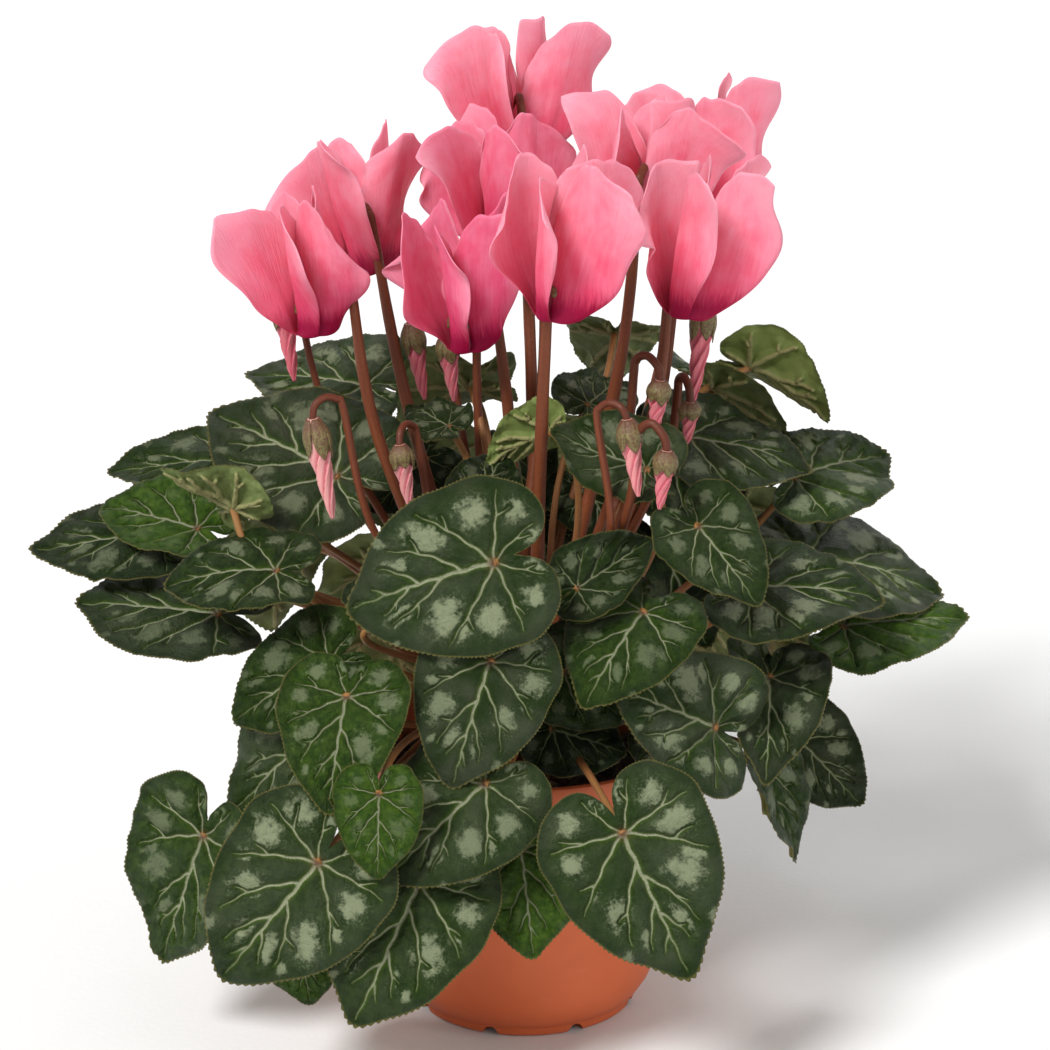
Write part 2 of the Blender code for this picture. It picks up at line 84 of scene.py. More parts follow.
# Half of the smooth outline: angle from the tip and radius.
HALF_OUTLINE = ((0, 1.0), (6, 0.905), (13, 0.84), (25, 0.755), (38, 0.665), (52, 0.6),
                (66, 0.555), (80, 0.535), (94, 0.525), (108, 0.51), (122, 0.49), (136, 0.46),
                (148, 0.415), (160, 0.35), (169, 0.27), (176, 0.17), (180, 0.06))
TEETH = 138
TOOTH = 0.0105
LATTICE = 0.0135 / FINE
VEIN_GAP = 0.0035       # least distance between the pattern's points along the veins
LOOK_BACK = 700         # points that each is compared with
INNER_RING = 0.985      # share of the outline at which a second ring of points runs
BLADE_MM = 0.45
PUFF_MM, SINK_MM = 2.9, 0.6     # rise between the veins and dip along them,
USUAL_MM = 60                   # on a blade of this length


# ----- meshes

def unit(v):
    """Vectors of length one."""
    v = np.asarray(v, dtype=float)
    return v / np.linalg.norm(v, axis=-1, keepdims=True)


def direction(azimuth, elevation):
    """Unit vector to an azimuth and elevation in degrees."""
    a, e = math.radians(azimuth), math.radians(elevation)
    return np.array([math.cos(e) * math.cos(a), math.cos(e) * math.sin(a), math.sin(e)])


def smoothstep(low, high, x):
    """0 below low, 1 above high, smooth between."""
    t = np.clip((x - low) / (high - low), 0.0, 1.0)
    return t * t * (3 - 2 * t)


def ripples(points, seed, scale, count=5):
    """Smooth random values of about -1 to 1 at points of a plane or of space."""
    rng = np.random.default_rng(seed)
    total = np.zeros(len(points))
    for _ in range(count):
        way = unit(rng.normal(size=points.shape[1]))
        total += np.sin(points @ way * scale * rng.uniform(0.6, 1.6) + rng.uniform(0, 6.28))
    return total / math.sqrt(count)


def catmull(points, count):
    """Evenly stepped points of a smooth curve through the given ones."""
    points = np.asarray(points, dtype=float)
    padded = np.vstack([2 * points[0] - points[1], points, 2 * points[-1] - points[-2]])
    where = np.linspace(0, len(points) - 1, count)
    i = np.minimum(where.astype(int), len(points) - 2)
    t = (where - i)[:, None]
    a, b, c, d = padded[i], padded[i + 1], padded[i + 2], padded[i + 3]
    return 0.5 * (2 * b + (c - a) * t + (2 * a - 5 * b + 4 * c - d) * t**2
                  + (3 * b - a - 3 * c + d) * t**3)


def carried_frames(path, side=None):
    """Unit vectors along and across a path, carried along it without twist."""
    ahead = unit(np.gradient(path, axis=0))
    if side is None:
        side = np.cross(ahead[0], [0.0, 1.0, 0.0])
    sides = []
    for way in ahead:
        side = unit(side - way * (side @ way))
        sides.append(side)
    sides = np.array(sides)
    return ahead, sides, np.cross(ahead, sides)


def channels(*values):
    """Values side by side as the four channels of a colour; the missing ones are nought."""
    return np.stack([*values] + [0 * values[0]] * (4 - len(values)), axis=1)


def triangulated(faces):
    """Triangles from faces of any size, as an array."""
    return np.array([(f[0], f[i], f[i + 1]) for f in faces for i in range(1, len(f) - 1)])


def walled(loop, n):
    """Triangles from a loop of points to the same loop n points further on."""
    nxt = np.roll(loop, -1)
    return np.vstack([np.stack([loop, loop + n, nxt + n], 1), np.stack([loop, nxt + n, nxt], 1)])


def skinned(rings):
    """Triangles of a closed tube over an array of rings of points, with flat ends."""
    n, sides = rings.shape[:2]
    k = np.arange(n * sides).reshape(n, sides)
    nxt = np.roll(k, -1, axis=1)
    quads = np.stack([k[:-1], nxt[:-1], nxt[1:], k[1:]], axis=2).reshape(-1, 4)
    return triangulated([tuple(q) for q in quads] + [tuple(k[0][::-1]), tuple(k[-1])])


def tube_rings(path, radii, sides):
    """Rings of points round a path; radii are one per ring, or one per point."""
    _, u, v = carried_frames(path)
    turn = np.linspace(0, TURN, sides, endpoint=False)
    ring = u[:, None] * np.cos(turn)[:, None] + v[:, None] * np.sin(turn)[:, None]
    return path[:, None] + ring * radii.reshape(len(path), -1, 1)


def rod(path, radii, sides, slot=0, reach=None):
    """A closed stalk, ready to be assembled; reach is its length for the streaks."""
    rings = tube_rings(path, radii, sides)
    if reach is None:
        reach = 10 * np.linalg.norm(np.diff(path, axis=0), axis=1).sum()
    along = np.repeat(np.linspace(0, 1, len(path)), sides)
    around = np.tile(np.linspace(0, 1, sides, endpoint=False), len(path))
    uv = np.stack([around * 0.1, along * reach], axis=1)
    return rings.reshape(-1, 3), skinned(rings), channels(along), uv, slot


def mesh_of(name, points, triangles, materials, slots, looks, uv, tone):
    """A smooth mesh object from arrays of triangles, with its looks and tone at each point."""
    mesh = bpy.data.meshes.new(name)
    triangles = np.ascontiguousarray(triangles, dtype=np.int32)
    n = len(triangles)
    mesh.vertices.add(len(points))
    mesh.vertices.foreach_set("co", np.asarray(points, dtype=np.float32).ravel())
    mesh.loops.add(3 * n)
    mesh.loops.foreach_set("vertex_index", triangles.ravel())
    mesh.polygons.add(n)
    mesh.polygons.foreach_set("loop_start", np.arange(0, 3 * n, 3, dtype=np.int32))
    for material in materials:
        mesh.materials.append(material)
    mesh.polygons.foreach_set("material_index", np.asarray(slots, dtype=np.int32))
    mesh.update(calc_edges=True)
    mesh.validate()
    for label, values in (("looks", looks), ("tone", tone)):
        layer = mesh.attributes.new(label, "FLOAT_COLOR", "POINT")
        layer.data.foreach_set("color", np.asarray(values, dtype=np.float32).ravel())
    layer = mesh.uv_layers.new(name="UVMap")
    corners = np.asarray(uv, dtype=np.float32)[triangles.ravel()]
    layer.data.foreach_set("uv", corners.ravel())
    mesh.shade_smooth()
    thing = bpy.data.objects.new(name, mesh)
    bpy.context.scene.collection.objects.link(thing)
    return thing


def fix_winding(thing):
    """Turns all the faces of a closed object outward."""
    work = bmesh.new()
    work.from_mesh(thing.data)
    bmesh.ops.recalc_face_normals(work, faces=work.faces)
    work.to_mesh(thing.data)
    work.free()


# ----- materials

class Paint:
    """A node material written in short calls; each call adds one node and gives its output."""

    def __init__(self, name):
        self.material = bpy.data.materials.new(name)
        self.material.use_nodes = True
        self.tree = self.material.node_tree
        self.shader = self.tree.nodes["Principled BSDF"]

    def put(self, socket, value):
        """Links a socket to another one, or sets it."""
        if isinstance(value, bpy.types.NodeSocket):
            self.tree.links.new(value, socket)
        elif isinstance(value, tuple) and socket.type == "RGBA":
            socket.default_value = (*value, 1.0)
        else:
            socket.default_value = value

    def node(self, kind, inputs=(), **settings):
        """A node with its settings and inputs."""
        made = self.tree.nodes.new("ShaderNode" + kind)
        for key, value in settings.items():
            setattr(made, key, value)
        for key, value in dict(inputs).items():
            self.put(made.inputs[key], value)
        return made

    def attribute(self, name):
        """The separate channels of a colour attribute, with its alpha last."""
        found = self.node("Attribute", attribute_name=name)
        apart = self.node("SeparateColor", {"Color": found.outputs["Color"]})
        return [apart.outputs[i] for i in range(3)] + [found.outputs["Alpha"]]

    def math(self, how, a, b=0.0, c=0.0):
        """One sum."""
        return self.node("Math", {0: a, 1: b, 2: c}, operation=how).outputs[0]

    def plus(self, a, b):
        """Two values added."""
        return self.math("ADD", a, b)

    def times(self, a, b):
        """Two values multiplied."""
        return self.math("MULTIPLY", a, b)

    def ramp(self, value, low, high, start=0.0, end=1.0):
        """A smooth step from low to high."""
        return self.node("MapRange", {"Value": value, "From Min": low, "From Max": high,
                                      "To Min": start, "To Max": end},
                         interpolation_type="SMOOTHSTEP").outputs[0]

    def mix(self, share, a, b):
        """Two colours mixed."""
        made = self.node("Mix", data_type="RGBA")
        self.put(made.inputs["Factor"], share)
        self.put(made.inputs[6], a)         # the A and B sockets of colours
        self.put(made.inputs[7], b)
        return made.outputs[2]

    def over(self, base, colour, value, low, high, start=0.0, end=1.0):
        """A colour laid over another by a smooth step of a value."""
        return self.mix(self.ramp(value, low, high, start, end), base, colour)

    def noise(self, vector, scale, detail=4.0, rough=0.55, seed=None):
        """Noise of about 0 to 1; with a seed socket it differs from piece to piece."""
        inputs = {"Vector": vector, "Scale": scale, "Detail": detail, "Roughness": rough}
        if seed is None:
            return self.node("TexNoise", inputs).outputs["Fac"]
        inputs["W"] = seed
        return self.node("TexNoise", inputs, noise_dimensions="4D").outputs["Fac"]

    def drawn_out(self, vector, scale, size=1.0, detail=4.0, rough=0.6, seed=None, turned=0.0):
        """Noise stretched by a different scale along each axis."""
        held = self.node("Mapping", {"Vector": vector, "Scale": scale,
                                     "Rotation": (0.0, 0.0, turned)})
        return self.noise(held.outputs[0], size, detail, rough, seed)

    def leaning(self, value, swing):
        """A value of 0 to 1 made to swing about zero."""
        return self.math("MULTIPLY_ADD", value, swing, -swing / 2)

    def looks_and_tone(self):
        """The looks, the tone, the flat coordinates and the shift of the noise."""
        looks, tone = self.attribute("looks"), self.attribute("tone")
        return looks, tone, self.place("UV"), self.times(tone[3], 40.0)

    def place(self, what="Object"):
        """Object or UV coordinates."""
        return self.node("TexCoord").outputs[what]

    def finish(self, colour, rough, height=None, depth=0.0, **constants):
        """Fills the shader."""
        self.put(self.shader.inputs["Base Color"], colour)
        self.put(self.shader.inputs["Roughness"], rough)
        for key, value in constants.items():
            self.put(self.shader.inputs[key.replace("_", " ")], value)
        if height is not None:
            bump = self.node("Bump", {"Height": height, "Strength": 1.0, "Distance": depth})
            self.put(self.shader.inputs["Normal"], bump.outputs[0])
        return self.material


DARK_GREEN = (0.006, 0.014, 0.002)
MID_GREEN = (0.016, 0.036, 0.005)
GREY_GREEN = (0.056, 0.070, 0.036)
SILVER = (0.285, 0.325, 0.190)
LIVELY_GREEN = (0.022, 0.074, 0.003)
YOUNG_GREEN = (0.100, 0.185, 0.014)
VEIN_PALE = (0.420, 0.440, 0.285)
RIM_BROWN = (0.170, 0.150, 0.040)
HEART_RED = (0.130, 0.036, 0.016)


def leaf_top():
    """Upper side: dark, with pale forked veins and a ring of broken silver blotches."""
    m = Paint("leaf_top")
    (vein, share, blotch, heart), (light, fresh, silver, _), flat, w = m.looks_and_tone()
    broad = m.noise(flat, 4.0, 3.0, 0.5, w)
    cloud = m.noise(flat, 16.0, 5.0, 0.62, w)
    speck = m.noise(flat, 70.0, 4.0, 0.65, w)
    pore = m.noise(flat, 330.0, 2.0, 0.6, w)
    base = m.over(DARK_GREEN, MID_GREEN, cloud, 0.38, 0.64)
    base = m.mix(light, base, m.over(MID_GREEN, GREY_GREEN, broad, 0.32, 0.68))
    base = m.mix(fresh, base, m.over(LIVELY_GREEN, YOUNG_GREEN, cloud, 0.3, 0.75))
    base = m.over(base, YOUNG_GREEN, vein, 0.0, 0.7, 0.0, 0.45)
    torn = m.plus(blotch, m.leaning(speck, 0.8))
    torn = m.plus(torn, m.leaning(cloud, 1.9))
    patch = m.times(m.ramp(torn, 0.30, 0.85), m.ramp(blotch, 0.04, 0.3))
    dusty = m.times(m.ramp(blotch, 0.02, 0.35, 0.0, 0.4), m.ramp(speck, 0.48, 0.75))
    patch = m.math("MAXIMUM", patch, dusty)
    patch = m.times(patch, m.ramp(pore, 0.25, 0.6, 0.72, 1.0))
    base = m.mix(m.times(patch, silver), base, SILVER)
    base = m.over(base, DARK_GREEN, share, 0.84, 0.97, 0.0, 0.35)
    frayed = m.plus(vein, m.leaning(speck, 0.36))
    seen = m.times(m.ramp(frayed, 0.55, 0.84), m.ramp(share, 0.5, 0.95, 0.88, 0.34))
    base = m.mix(seen, base, VEIN_PALE)
    base = m.over(base, RIM_BROWN, share, 0.976, 0.997, 0.0, 0.75)
    base = m.mix(m.times(heart, 0.9), base, HEART_RED)
    base = m.over(base, DARK_GREEN, pore, 0.35, 0.8, 0.0, 0.2)
    height = m.plus(m.times(pore, 0.35), speck)
    height = m.plus(height, m.times(cloud, 2.4))
    height = m.plus(height, m.times(vein, -0.9))
    return m.finish(base, m.ramp(speck, 0.2, 0.8, 0.30, 0.46), height, 0.0013,
                    Specular_IOR_Level=0.24)


def leaf_under():
    """Lower side: dull olive with raised pale veins."""
    m = Paint("leaf_under")
    (vein, *_), (_, fresh, _, _), flat, w = m.looks_and_tone()
    cloud = m.noise(flat, 9.0, 4.0, 0.6, w)
    speck = m.noise(flat, 110.0, 3.0, 0.6, w)
    base = m.over((0.085, 0.115, 0.030), (0.165, 0.200, 0.065), cloud, 0.3, 0.7)
    base = m.mix(m.times(fresh, 0.6), base, (0.21, 0.28, 0.06))
    base = m.over(base, (0.30, 0.27, 0.12), vein, 0.2, 0.8, 0.0, 0.7)
    base = m.over(base, (0.05, 0.07, 0.018), speck, 0.3, 0.8, 0.0, 0.3)
    return m.finish(base, m.ramp(speck, 0.2, 0.8, 0.5, 0.66), speck, 0.0003,
                    Specular_IOR_Level=0.3)


def stalk_paint(name, low, high, dark):
    """Skin of a stalk: fine lengthwise streaks over a colour that changes along it."""
    m = Paint(name)
    along = m.attribute("looks")[0]
    streak = m.drawn_out(m.place("UV"), (60.0, 2.5, 1.0))
    speck = m.noise(m.place(), 900.0, 3.0, 0.6)
    base = m.over(low, high, along, 0.0, 1.0)
    base = m.over(base, dark, streak, 0.35, 0.75, 0.0, 0.6)
    base = m.over(base, dark, speck, 0.4, 0.8, 0.0, 0.25)
    return m.finish(base, m.ramp(speck, 0.2, 0.8, 0.4, 0.6), m.plus(streak, speck),
                    0.00018, Subsurface_Weight=0.05, Subsurface_Scale=0.002,
                    Specular_IOR_Level=0.3)


def petal_paint():
    """Silky petal: deep at the nose, paler to the rim, with fine lengthwise streaks."""
    m = Paint("petal_silk")
    (along, edge, inner, ribs), (hue, pale, deep, _), flat, w = m.looks_and_tone()
    streak = m.drawn_out(flat, (16.0, 1.6, 1.0), 1.0, 5.0, 0.65, w)
    fine = m.drawn_out(flat, (60.0, 3.0, 1.0), 1.0, 3.0, 0.6, w)
    cloud = m.noise(flat, 2.4, 3.0, 0.5, w)
    salmon = m.over((0.84, 0.098, 0.160), (0.87, 0.165, 0.235), cloud, 0.3, 0.7)
    magenta = m.over((0.76, 0.056, 0.165), (0.84, 0.130, 0.250), cloud, 0.3, 0.7)
    base = m.mix(hue, salmon, magenta)
    tipward = m.plus(along, m.leaning(cloud, 0.3))
    base = m.mix(m.times(m.ramp(tipward, 0.6, 1.05), m.times(pale, 0.6)),
                 base, (0.86, 0.34, 0.41))
    base = m.over(base, (0.90, 0.34, 0.42), edge, 0.55, 1.0, 0.0, 0.5)
    base = m.over(base, (0.84, 0.26, 0.33), streak, 0.45, 0.75, 0.0, 0.28)
    base = m.over(base, (0.76, 0.048, 0.115), fine, 0.5, 0.8, 0.0, 0.35)
    base = m.over(base, (0.70, 0.040, 0.100), ribs, 0.2, 1.0, 0.0, 0.12)
    ragged = m.plus(along, m.leaning(streak, 0.14))
    flush = m.ramp(ragged, 0.55, 0.82, 0.75, 0.0)
    nose = m.ramp(ragged, 0.54, 0.64, 1.0, 0.0)
    base = m.mix(m.times(flush, deep), base, (0.62, 0.012, 0.090))
    base = m.mix(m.times(nose, m.math("MULTIPLY_ADD", deep, 0.3, 0.68)),
                 base, (0.26, 0.0006, 0.034))
    base = m.mix(m.times(inner, 0.12), base, (0.86, 0.34, 0.41))
    height = m.plus(streak, m.times(fine, 0.5))
    return m.finish(base, m.ramp(fine, 0.2, 0.8, 0.46, 0.62), height, 0.00028,
                    Subsurface_Weight=0.45, Subsurface_Scale=0.004,
                    Subsurface_Radius=(1.0, 0.35, 0.4), Specular_IOR_Level=0.12)


def calyx_paint():
    """Calyx and its lobes: brownish green with dark lengthwise stripes."""
    m = Paint("calyx_skin")
    along = m.attribute("looks")[0]
    speck = m.noise(m.place(), 1300.0, 3.0, 0.6)
    streak = m.drawn_out(m.place("UV"), (26.0, 2.0, 1.0))
    base = m.over((0.10, 0.085, 0.022), (0.22, 0.18, 0.065), streak, 0.3, 0.7)
    base = m.over(base, (0.085, 0.018, 0.012), speck, 0.4, 0.65, 0.0, 0.75)
    base = m.over(base, (0.10, 0.026, 0.014), along, 0.0, 0.5, 0.75, 0.0)
    return m.finish(base, m.ramp(speck, 0.2, 0.8, 0.45, 0.62), m.plus(speck, streak),
                    0.0002)


def bud_paint():
    """Furled petals: pink, with painted shade in deep magenta along the bottoms of the spiral
    grooves, and a paler, greenish foot.
    """
    m = Paint("bud_silk")
    (along, _, furrow_shade, _), (_, pale, _, _), flat, w = m.looks_and_tone()
    streak = m.drawn_out(flat, (34.0, 2.0, 1.0), 1.0, 4.0, 0.65, w)
    base = m.mix(pale, (0.62, 0.090, 0.140), (0.72, 0.36, 0.33))
    base = m.over(base, (0.80, 0.30, 0.33), streak, 0.35, 0.7, 0.0, 0.5)
    # painted shade: the bottoms of the spiral grooves darkened towards deep magenta
    base = m.mix(m.times(furrow_shade, 0.75), base, (0.40, 0.025, 0.065))
    base = m.over(base, (0.46, 0.30, 0.20), along, 0.0, 0.35, 0.6, 0.0)
    return m.finish(base, m.ramp(streak, 0.2, 0.8, 0.42, 0.58), streak, 0.0002,
                    Subsurface_Weight=0.15, Subsurface_Scale=0.002)


def pot_paint():
    """Moulded terracotta-coloured plastic: matt, finely grained, faint rings and scuffs."""
    m = Paint("pot_plastic")
    where = m.place()
    grain = m.noise(where, 2600.0, 2.0, 0.6)
    cloud = m.noise(where, 22.0, 4.0, 0.6)
    scuff = m.drawn_out(where, (1.0, 1.0, 7.0), 60.0, 6.0, 0.7)
    base = m.over((0.52, 0.100, 0.030), (0.58, 0.122, 0.038), cloud, 0.3, 0.7)
    base = m.over(base, (0.68, 0.26, 0.14), scuff, 0.6, 0.82, 0.0, 0.3)
    base = m.over(base, (0.38, 0.070, 0.022), grain, 0.5, 0.9, 0.0, 0.18)
    height = m.plus(grain, m.times(scuff, 0.6))
    return m.finish(base, m.ramp(cloud, 0.2, 0.8, 0.42, 0.54), height, 0.00006,
                    Specular_IOR_Level=0.35)


def soil_paint():
    """Dark peat with brown fibre and pale grit."""
    m = Paint("peat")
    where = m.place()
    crumb = m.noise(where, 260.0, 6.0, 0.7)
    fibre = m.drawn_out(where, (3.0, 1.0, 1.0), 420.0, 3.0, 0.6, turned=0.7)
    grit = m.node("TexVoronoi", {"Vector": where, "Scale": 330.0}).outputs["Distance"]
    base = m.over((0.010, 0.006, 0.004), (0.045, 0.026, 0.015), crumb, 0.3, 0.7)
    base = m.over(base, (0.10, 0.055, 0.028), fibre, 0.6, 0.75, 0.0, 0.7)
    base = m.over(base, (0.20, 0.16, 0.12), grit, 0.06, 0.14, 0.5, 0.0)
    return m.finish(base, m.ramp(crumb, 0.2, 0.8, 0.8, 0.98), m.plus(crumb, fibre),
                    0.0012)


def corm_paint():
    """Corky brown skin with scars and cracks."""
    m = Paint("cork")
    where = m.place()
    cloud = m.noise(where, 70.0, 6.0, 0.7)
    crack = m.node("TexVoronoi", {"Vector": where, "Scale": 240.0},
                   feature="DISTANCE_TO_EDGE").outputs["Distance"]
    base = m.over((0.075, 0.036, 0.020), (0.20, 0.11, 0.06), cloud, 0.3, 0.7)
    base = m.over(base, (0.025, 0.012, 0.008), crack, 0.0, 0.08, 0.8, 0.0)
    return m.finish(base, m.ramp(cloud, 0.2, 0.8, 0.7, 0.9),
                    m.plus(cloud, m.ramp(crack, 0.0, 0.1)), 0.0008)


def floor_paint():
    """Pale, slightly mottled paper."""
    m = Paint("paper")
    where = m.place()
    grain = m.noise(where, 400.0, 2.0, 0.5)
    base = m.mix(m.noise(where, 3.0, 4.0, 0.5), (0.80, 0.80, 0.79), (0.84, 0.84, 0.835))
    return m.finish(base, m.ramp(grain, 0.2, 0.8, 0.8, 0.9), grain, 0.0001)


LEAF_TOP = leaf_top()
LEAF_UNDER = leaf_under()
PETIOLE = stalk_paint("petiole_skin", (0.30, 0.15, 0.045), (0.20, 0.06, 0.022),
                      (0.12, 0.03, 0.012))
STEM = stalk_paint("stem_skin", (0.215, 0.058, 0.018), (0.095, 0.020, 0.007),
                   (0.06, 0.010, 0.005))
PETAL = petal_paint()
CALYX = calyx_paint()
BUD = bud_paint()
POT = pot_paint()
SOIL = soil_paint()
CORK = corm_paint()
PAPER = floor_paint()


# ----- CAD skeletons

def welded(node):
    """A CAD node's corners, each place once, and its triangles by corner."""
    mesh = frame["nodes"][node].data
    places = np.empty(len(mesh.vertices) * 3, dtype=np.float32)
    mesh.vertices.foreach_get("co", places)
    corners, index = np.unique(places.reshape(-1, 3), axis=0, return_inverse=True)
    loops = np.empty(len(mesh.loops), dtype=np.int32)
    mesh.loops.foreach_get("vertex_index", loops)
    return corners.astype(float), index.ravel()[loops].reshape(-1, 3)


def layers_from(start, corners, triangles):
    """Sets of corners one, two, three ... edges away from the corners in start."""
    links = [set() for _ in corners]
    for a, b, c in triangles:
        links[a] |= {b, c}
        links[b] |= {a, c}
        links[c] |= {a, b}
    seen = set(start)
    layers = [sorted(start)]
    while True:
        ring = sorted({n for i in layers[-1] for n in links[i]} - seen)
        if not ring:
            return layers
        layers.append(ring)
        seen |= set(ring)


def leaf_skeleton(node):
    """Knots of the blade, in the order of KNOTS, and the petiole's centres and radii."""
    corners, triangles = welded(node)
    valence = np.bincount(triangles.ravel())
    middle = int(np.argmax(valence))
    following = {}
    for tri in triangles:
        if middle in tri:
            k = list(tri).index(middle)
            following[tri[(k + 1) % 3]] = tri[(k + 2) % 3]
    layers = layers_from([middle], corners, triangles)
    margin = np.array(layers[2])
    at = corners[middle]
    tip = margin[np.argmax(np.linalg.norm(corners[margin] - at, axis=1))]
    reach = corners[tip] - at
    one = min(following, key=lambda i: np.linalg.norm(corners[i] - at - reach * INNER_SHARE))
    inner = [one]
    while len(inner) < len(following):
        inner.append(following[inner[-1]])
    outer = []
    for i in inner:
        guess = at + (corners[i] - at) / INNER_SHARE
        outer.append(margin[np.argmin(np.linalg.norm(corners[margin] - guess, axis=1))])
    knots = np.vstack([at, corners[inner], corners[outer]])
    centres = [corners[ring].mean(axis=0) for ring in layers[4:]]
    radii = [np.linalg.norm(corners[ring] - centre, axis=1).mean()
             for ring, centre in zip(layers[4:], centres)]
    return knots, np.array(centres), np.array(radii)


def stalk_skeleton(node):
    """Centres and radii of a stalk's rings, from the corm up."""
    corners, triangles = welded(node)
    low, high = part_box("corm")
    heart = np.array([0.0, 0.0, (low[2] + high[2]) / 2])
    start = np.argsort(np.linalg.norm(corners - heart, axis=1))[:6]
    rings = layers_from([int(i) for i in start], corners, triangles)
    centres = np.array([corners[ring].mean(axis=0) for ring in rings])
    radii = np.array([np.linalg.norm(corners[ring] - centre, axis=1).mean()
                      for ring, centre in zip(rings, centres)])
    return centres, radii


# ----- the leaf pattern

# Main veins: angle at the junction, how it bends, share of the outline reached, half width.
VEINS = ((0, 0.0, 0.96, 0.0155), (60, -0.25, 0.88, 0.0115), (104, -0.15, 0.87, 0.0105),
         (146, 0.25, 0.80, 0.0085))
# Side branches of the midrib: distance along it, angle from it, share reached.
BRANCHES = ((0.19, -46, 0.86), (0.32, 42, 0.86), (0.48, -40, 0.85), (0.60, 38, 0.85),
            (0.76, -36, 0.84))
BRANCH_WIDTH = 0.0105
# Forks of every vein but the midrib: share along it, angle, share reached.
FORKS = ((0.60, 44, 0.78),)
FORK_WIDTH = 0.0078
# Silver blotches of one half: angle from the tip, distance, length and width.
BLOTCHES = ((11, 0.63, 0.100, 0.050), (31, 0.455, 0.125, 0.092), (22, 0.74, 0.055, 0.04),
            (52, 0.43, 0.08, 0.045), (80, 0.345, 0.095, 0.095), (123, 0.32, 0.09, 0.090),
            (160, 0.25, 0.065, 0.05))


def smooth_outline():
    """Radius of the blade at each degree from the tip, without teeth."""
    turns, radii = zip(*HALF_OUTLINE)
    degrees = np.arange(360)
    half = np.interp(np.minimum(degrees, 360 - degrees), turns, radii)
    kernel = np.exp(-0.5 * (np.arange(-12, 13) / 3.0) ** 2)
    wide = np.concatenate([half[-12:], half, half[:12]])
    return np.convolve(wide, kernel / kernel.sum(), mode="valid")


OUTLINE = smooth_outline()


def edge_at(degrees):
    """The outline's radius at angles in degrees."""
    return np.interp(np.asarray(degrees) % 360, np.arange(361), np.append(OUTLINE, OUTLINE[0]))


def inside_blade(points, share=1.0):
    """Which points lie inside the outline."""
    radius = np.hypot(points[:, 0], points[:, 1])
    angle = np.degrees(np.arctan2(points[:, 1], points[:, 0]))
    return radius < edge_at(angle) * share


def grown(start, way, bend, limit, width, rng):
    """A vein that grows from a point until it reaches a share of the outline."""
    points = [np.array(start, dtype=float)]
    step = 0.012
    kink = rng.uniform(0, 6.28)
    while len(points) < 90:
        far = len(points) * step
        aim = way + bend * far * 2.2 + 0.16 * math.sin(far * 42 + kink)
        following = points[-1] + step * np.array([math.cos(aim), math.sin(aim)])
        if not inside_blade(following[None], limit)[0]:
            break
        points.append(following)
    share = np.linspace(0, 1, len(points))
    return np.array(points), width * (1.0 - 0.6 * share)


def vein_lines(rng):
    """The veins of one pattern as (points, half widths)."""
    lines = []

    def forked(line, side):
        for along, turn, reach in FORKS:
            i = int((along + rng.uniform(-0.07, 0.07)) * (len(line) - 1))
            if i < 2 or len(line) < 9:
                continue
            way = math.atan2(*(line[i] - line[i - 1])[::-1])
            turned = way + side * math.radians(turn + rng.uniform(-9, 9))
            fork = grown(line[i], turned, -0.9 * side * math.copysign(1, turn),
                         reach - rng.uniform(0, 0.1), FORK_WIDTH, rng)
            if len(fork[0]) > 3:
                lines.append(fork)

    for side in (1, -1):
        for leave, bend, reach, width in VEINS:
            if side < 0 and leave == 0:
                continue
            way = math.radians(side * (leave + rng.uniform(-5, 5) * (leave > 0)))
            vein = grown((0, 0), way, side * bend, reach, width, rng)
            lines.append(vein)
            if leave:
                forked(vein[0], side)
    midrib = lines[0][0]
    for along, turn, reach in BRANCHES:
        i = int((along + rng.uniform(-0.03, 0.03)) * (len(midrib) - 1))
        way = math.radians(turn + rng.uniform(-5, 5))
        branch = grown(midrib[i], way, -0.55 * math.copysign(1, turn), reach, BRANCH_WIDTH, rng)
        if len(branch[0]) > 4:
            lines.append(branch)
            forked(branch[0], math.copysign(1, turn))
    return lines


def silver_field(points, gap, rng):
    """How deep each point lies in one of the silver blotches, from 0 to 1."""
    field = np.zeros(len(points))
    for side in (1, -1):
        for degrees, far, long, wide in BLOTCHES:
            a = math.radians(side * (degrees + rng.uniform(-4, 4)))
            ahead = np.array([math.cos(a), math.sin(a)])
            across = np.array([-ahead[1], ahead[0]])
            rest = points - ahead * far * rng.uniform(0.93, 1.05)
            scale = rng.uniform(0.75, 1.2)
            d2 = (rest @ ahead / (long * scale))**2 + (rest @ across / (wide * scale))**2
            field = np.maximum(field, np.exp(-0.9 * d2))
    return field * smoothstep(0.006, 0.03, gap)


def nearest_gap(points, lines):
    """Distance to the nearest vein less its half width, and the strength of the vein there."""
    gap = np.full(len(points), 9.0)
    strength = np.zeros(len(points))
    for near, wide in lines:
        away = np.linalg.norm(points[:, None] - near[None], axis=2)
        i = np.argmin(away, axis=1)
        d = away[np.arange(len(points)), i]
        ahead = near[np.minimum(i + 1, len(near) - 1)] - near[np.maximum(i - 1, 0)]
        ahead = unit(ahead + 1e-9)
        rest = points - near[i]
        across = np.abs(rest[:, 0] * ahead[:, 1] - rest[:, 1] * ahead[:, 0])
        past = (i == len(near) - 1) | (i == 0)
        d = np.where(past, d, across)
        gap = np.minimum(gap, d)
        core = np.clip(1 - d / (wide[i] * 2.6), 0, 1)
        strength = np.maximum(strength, core)
    return gap, strength


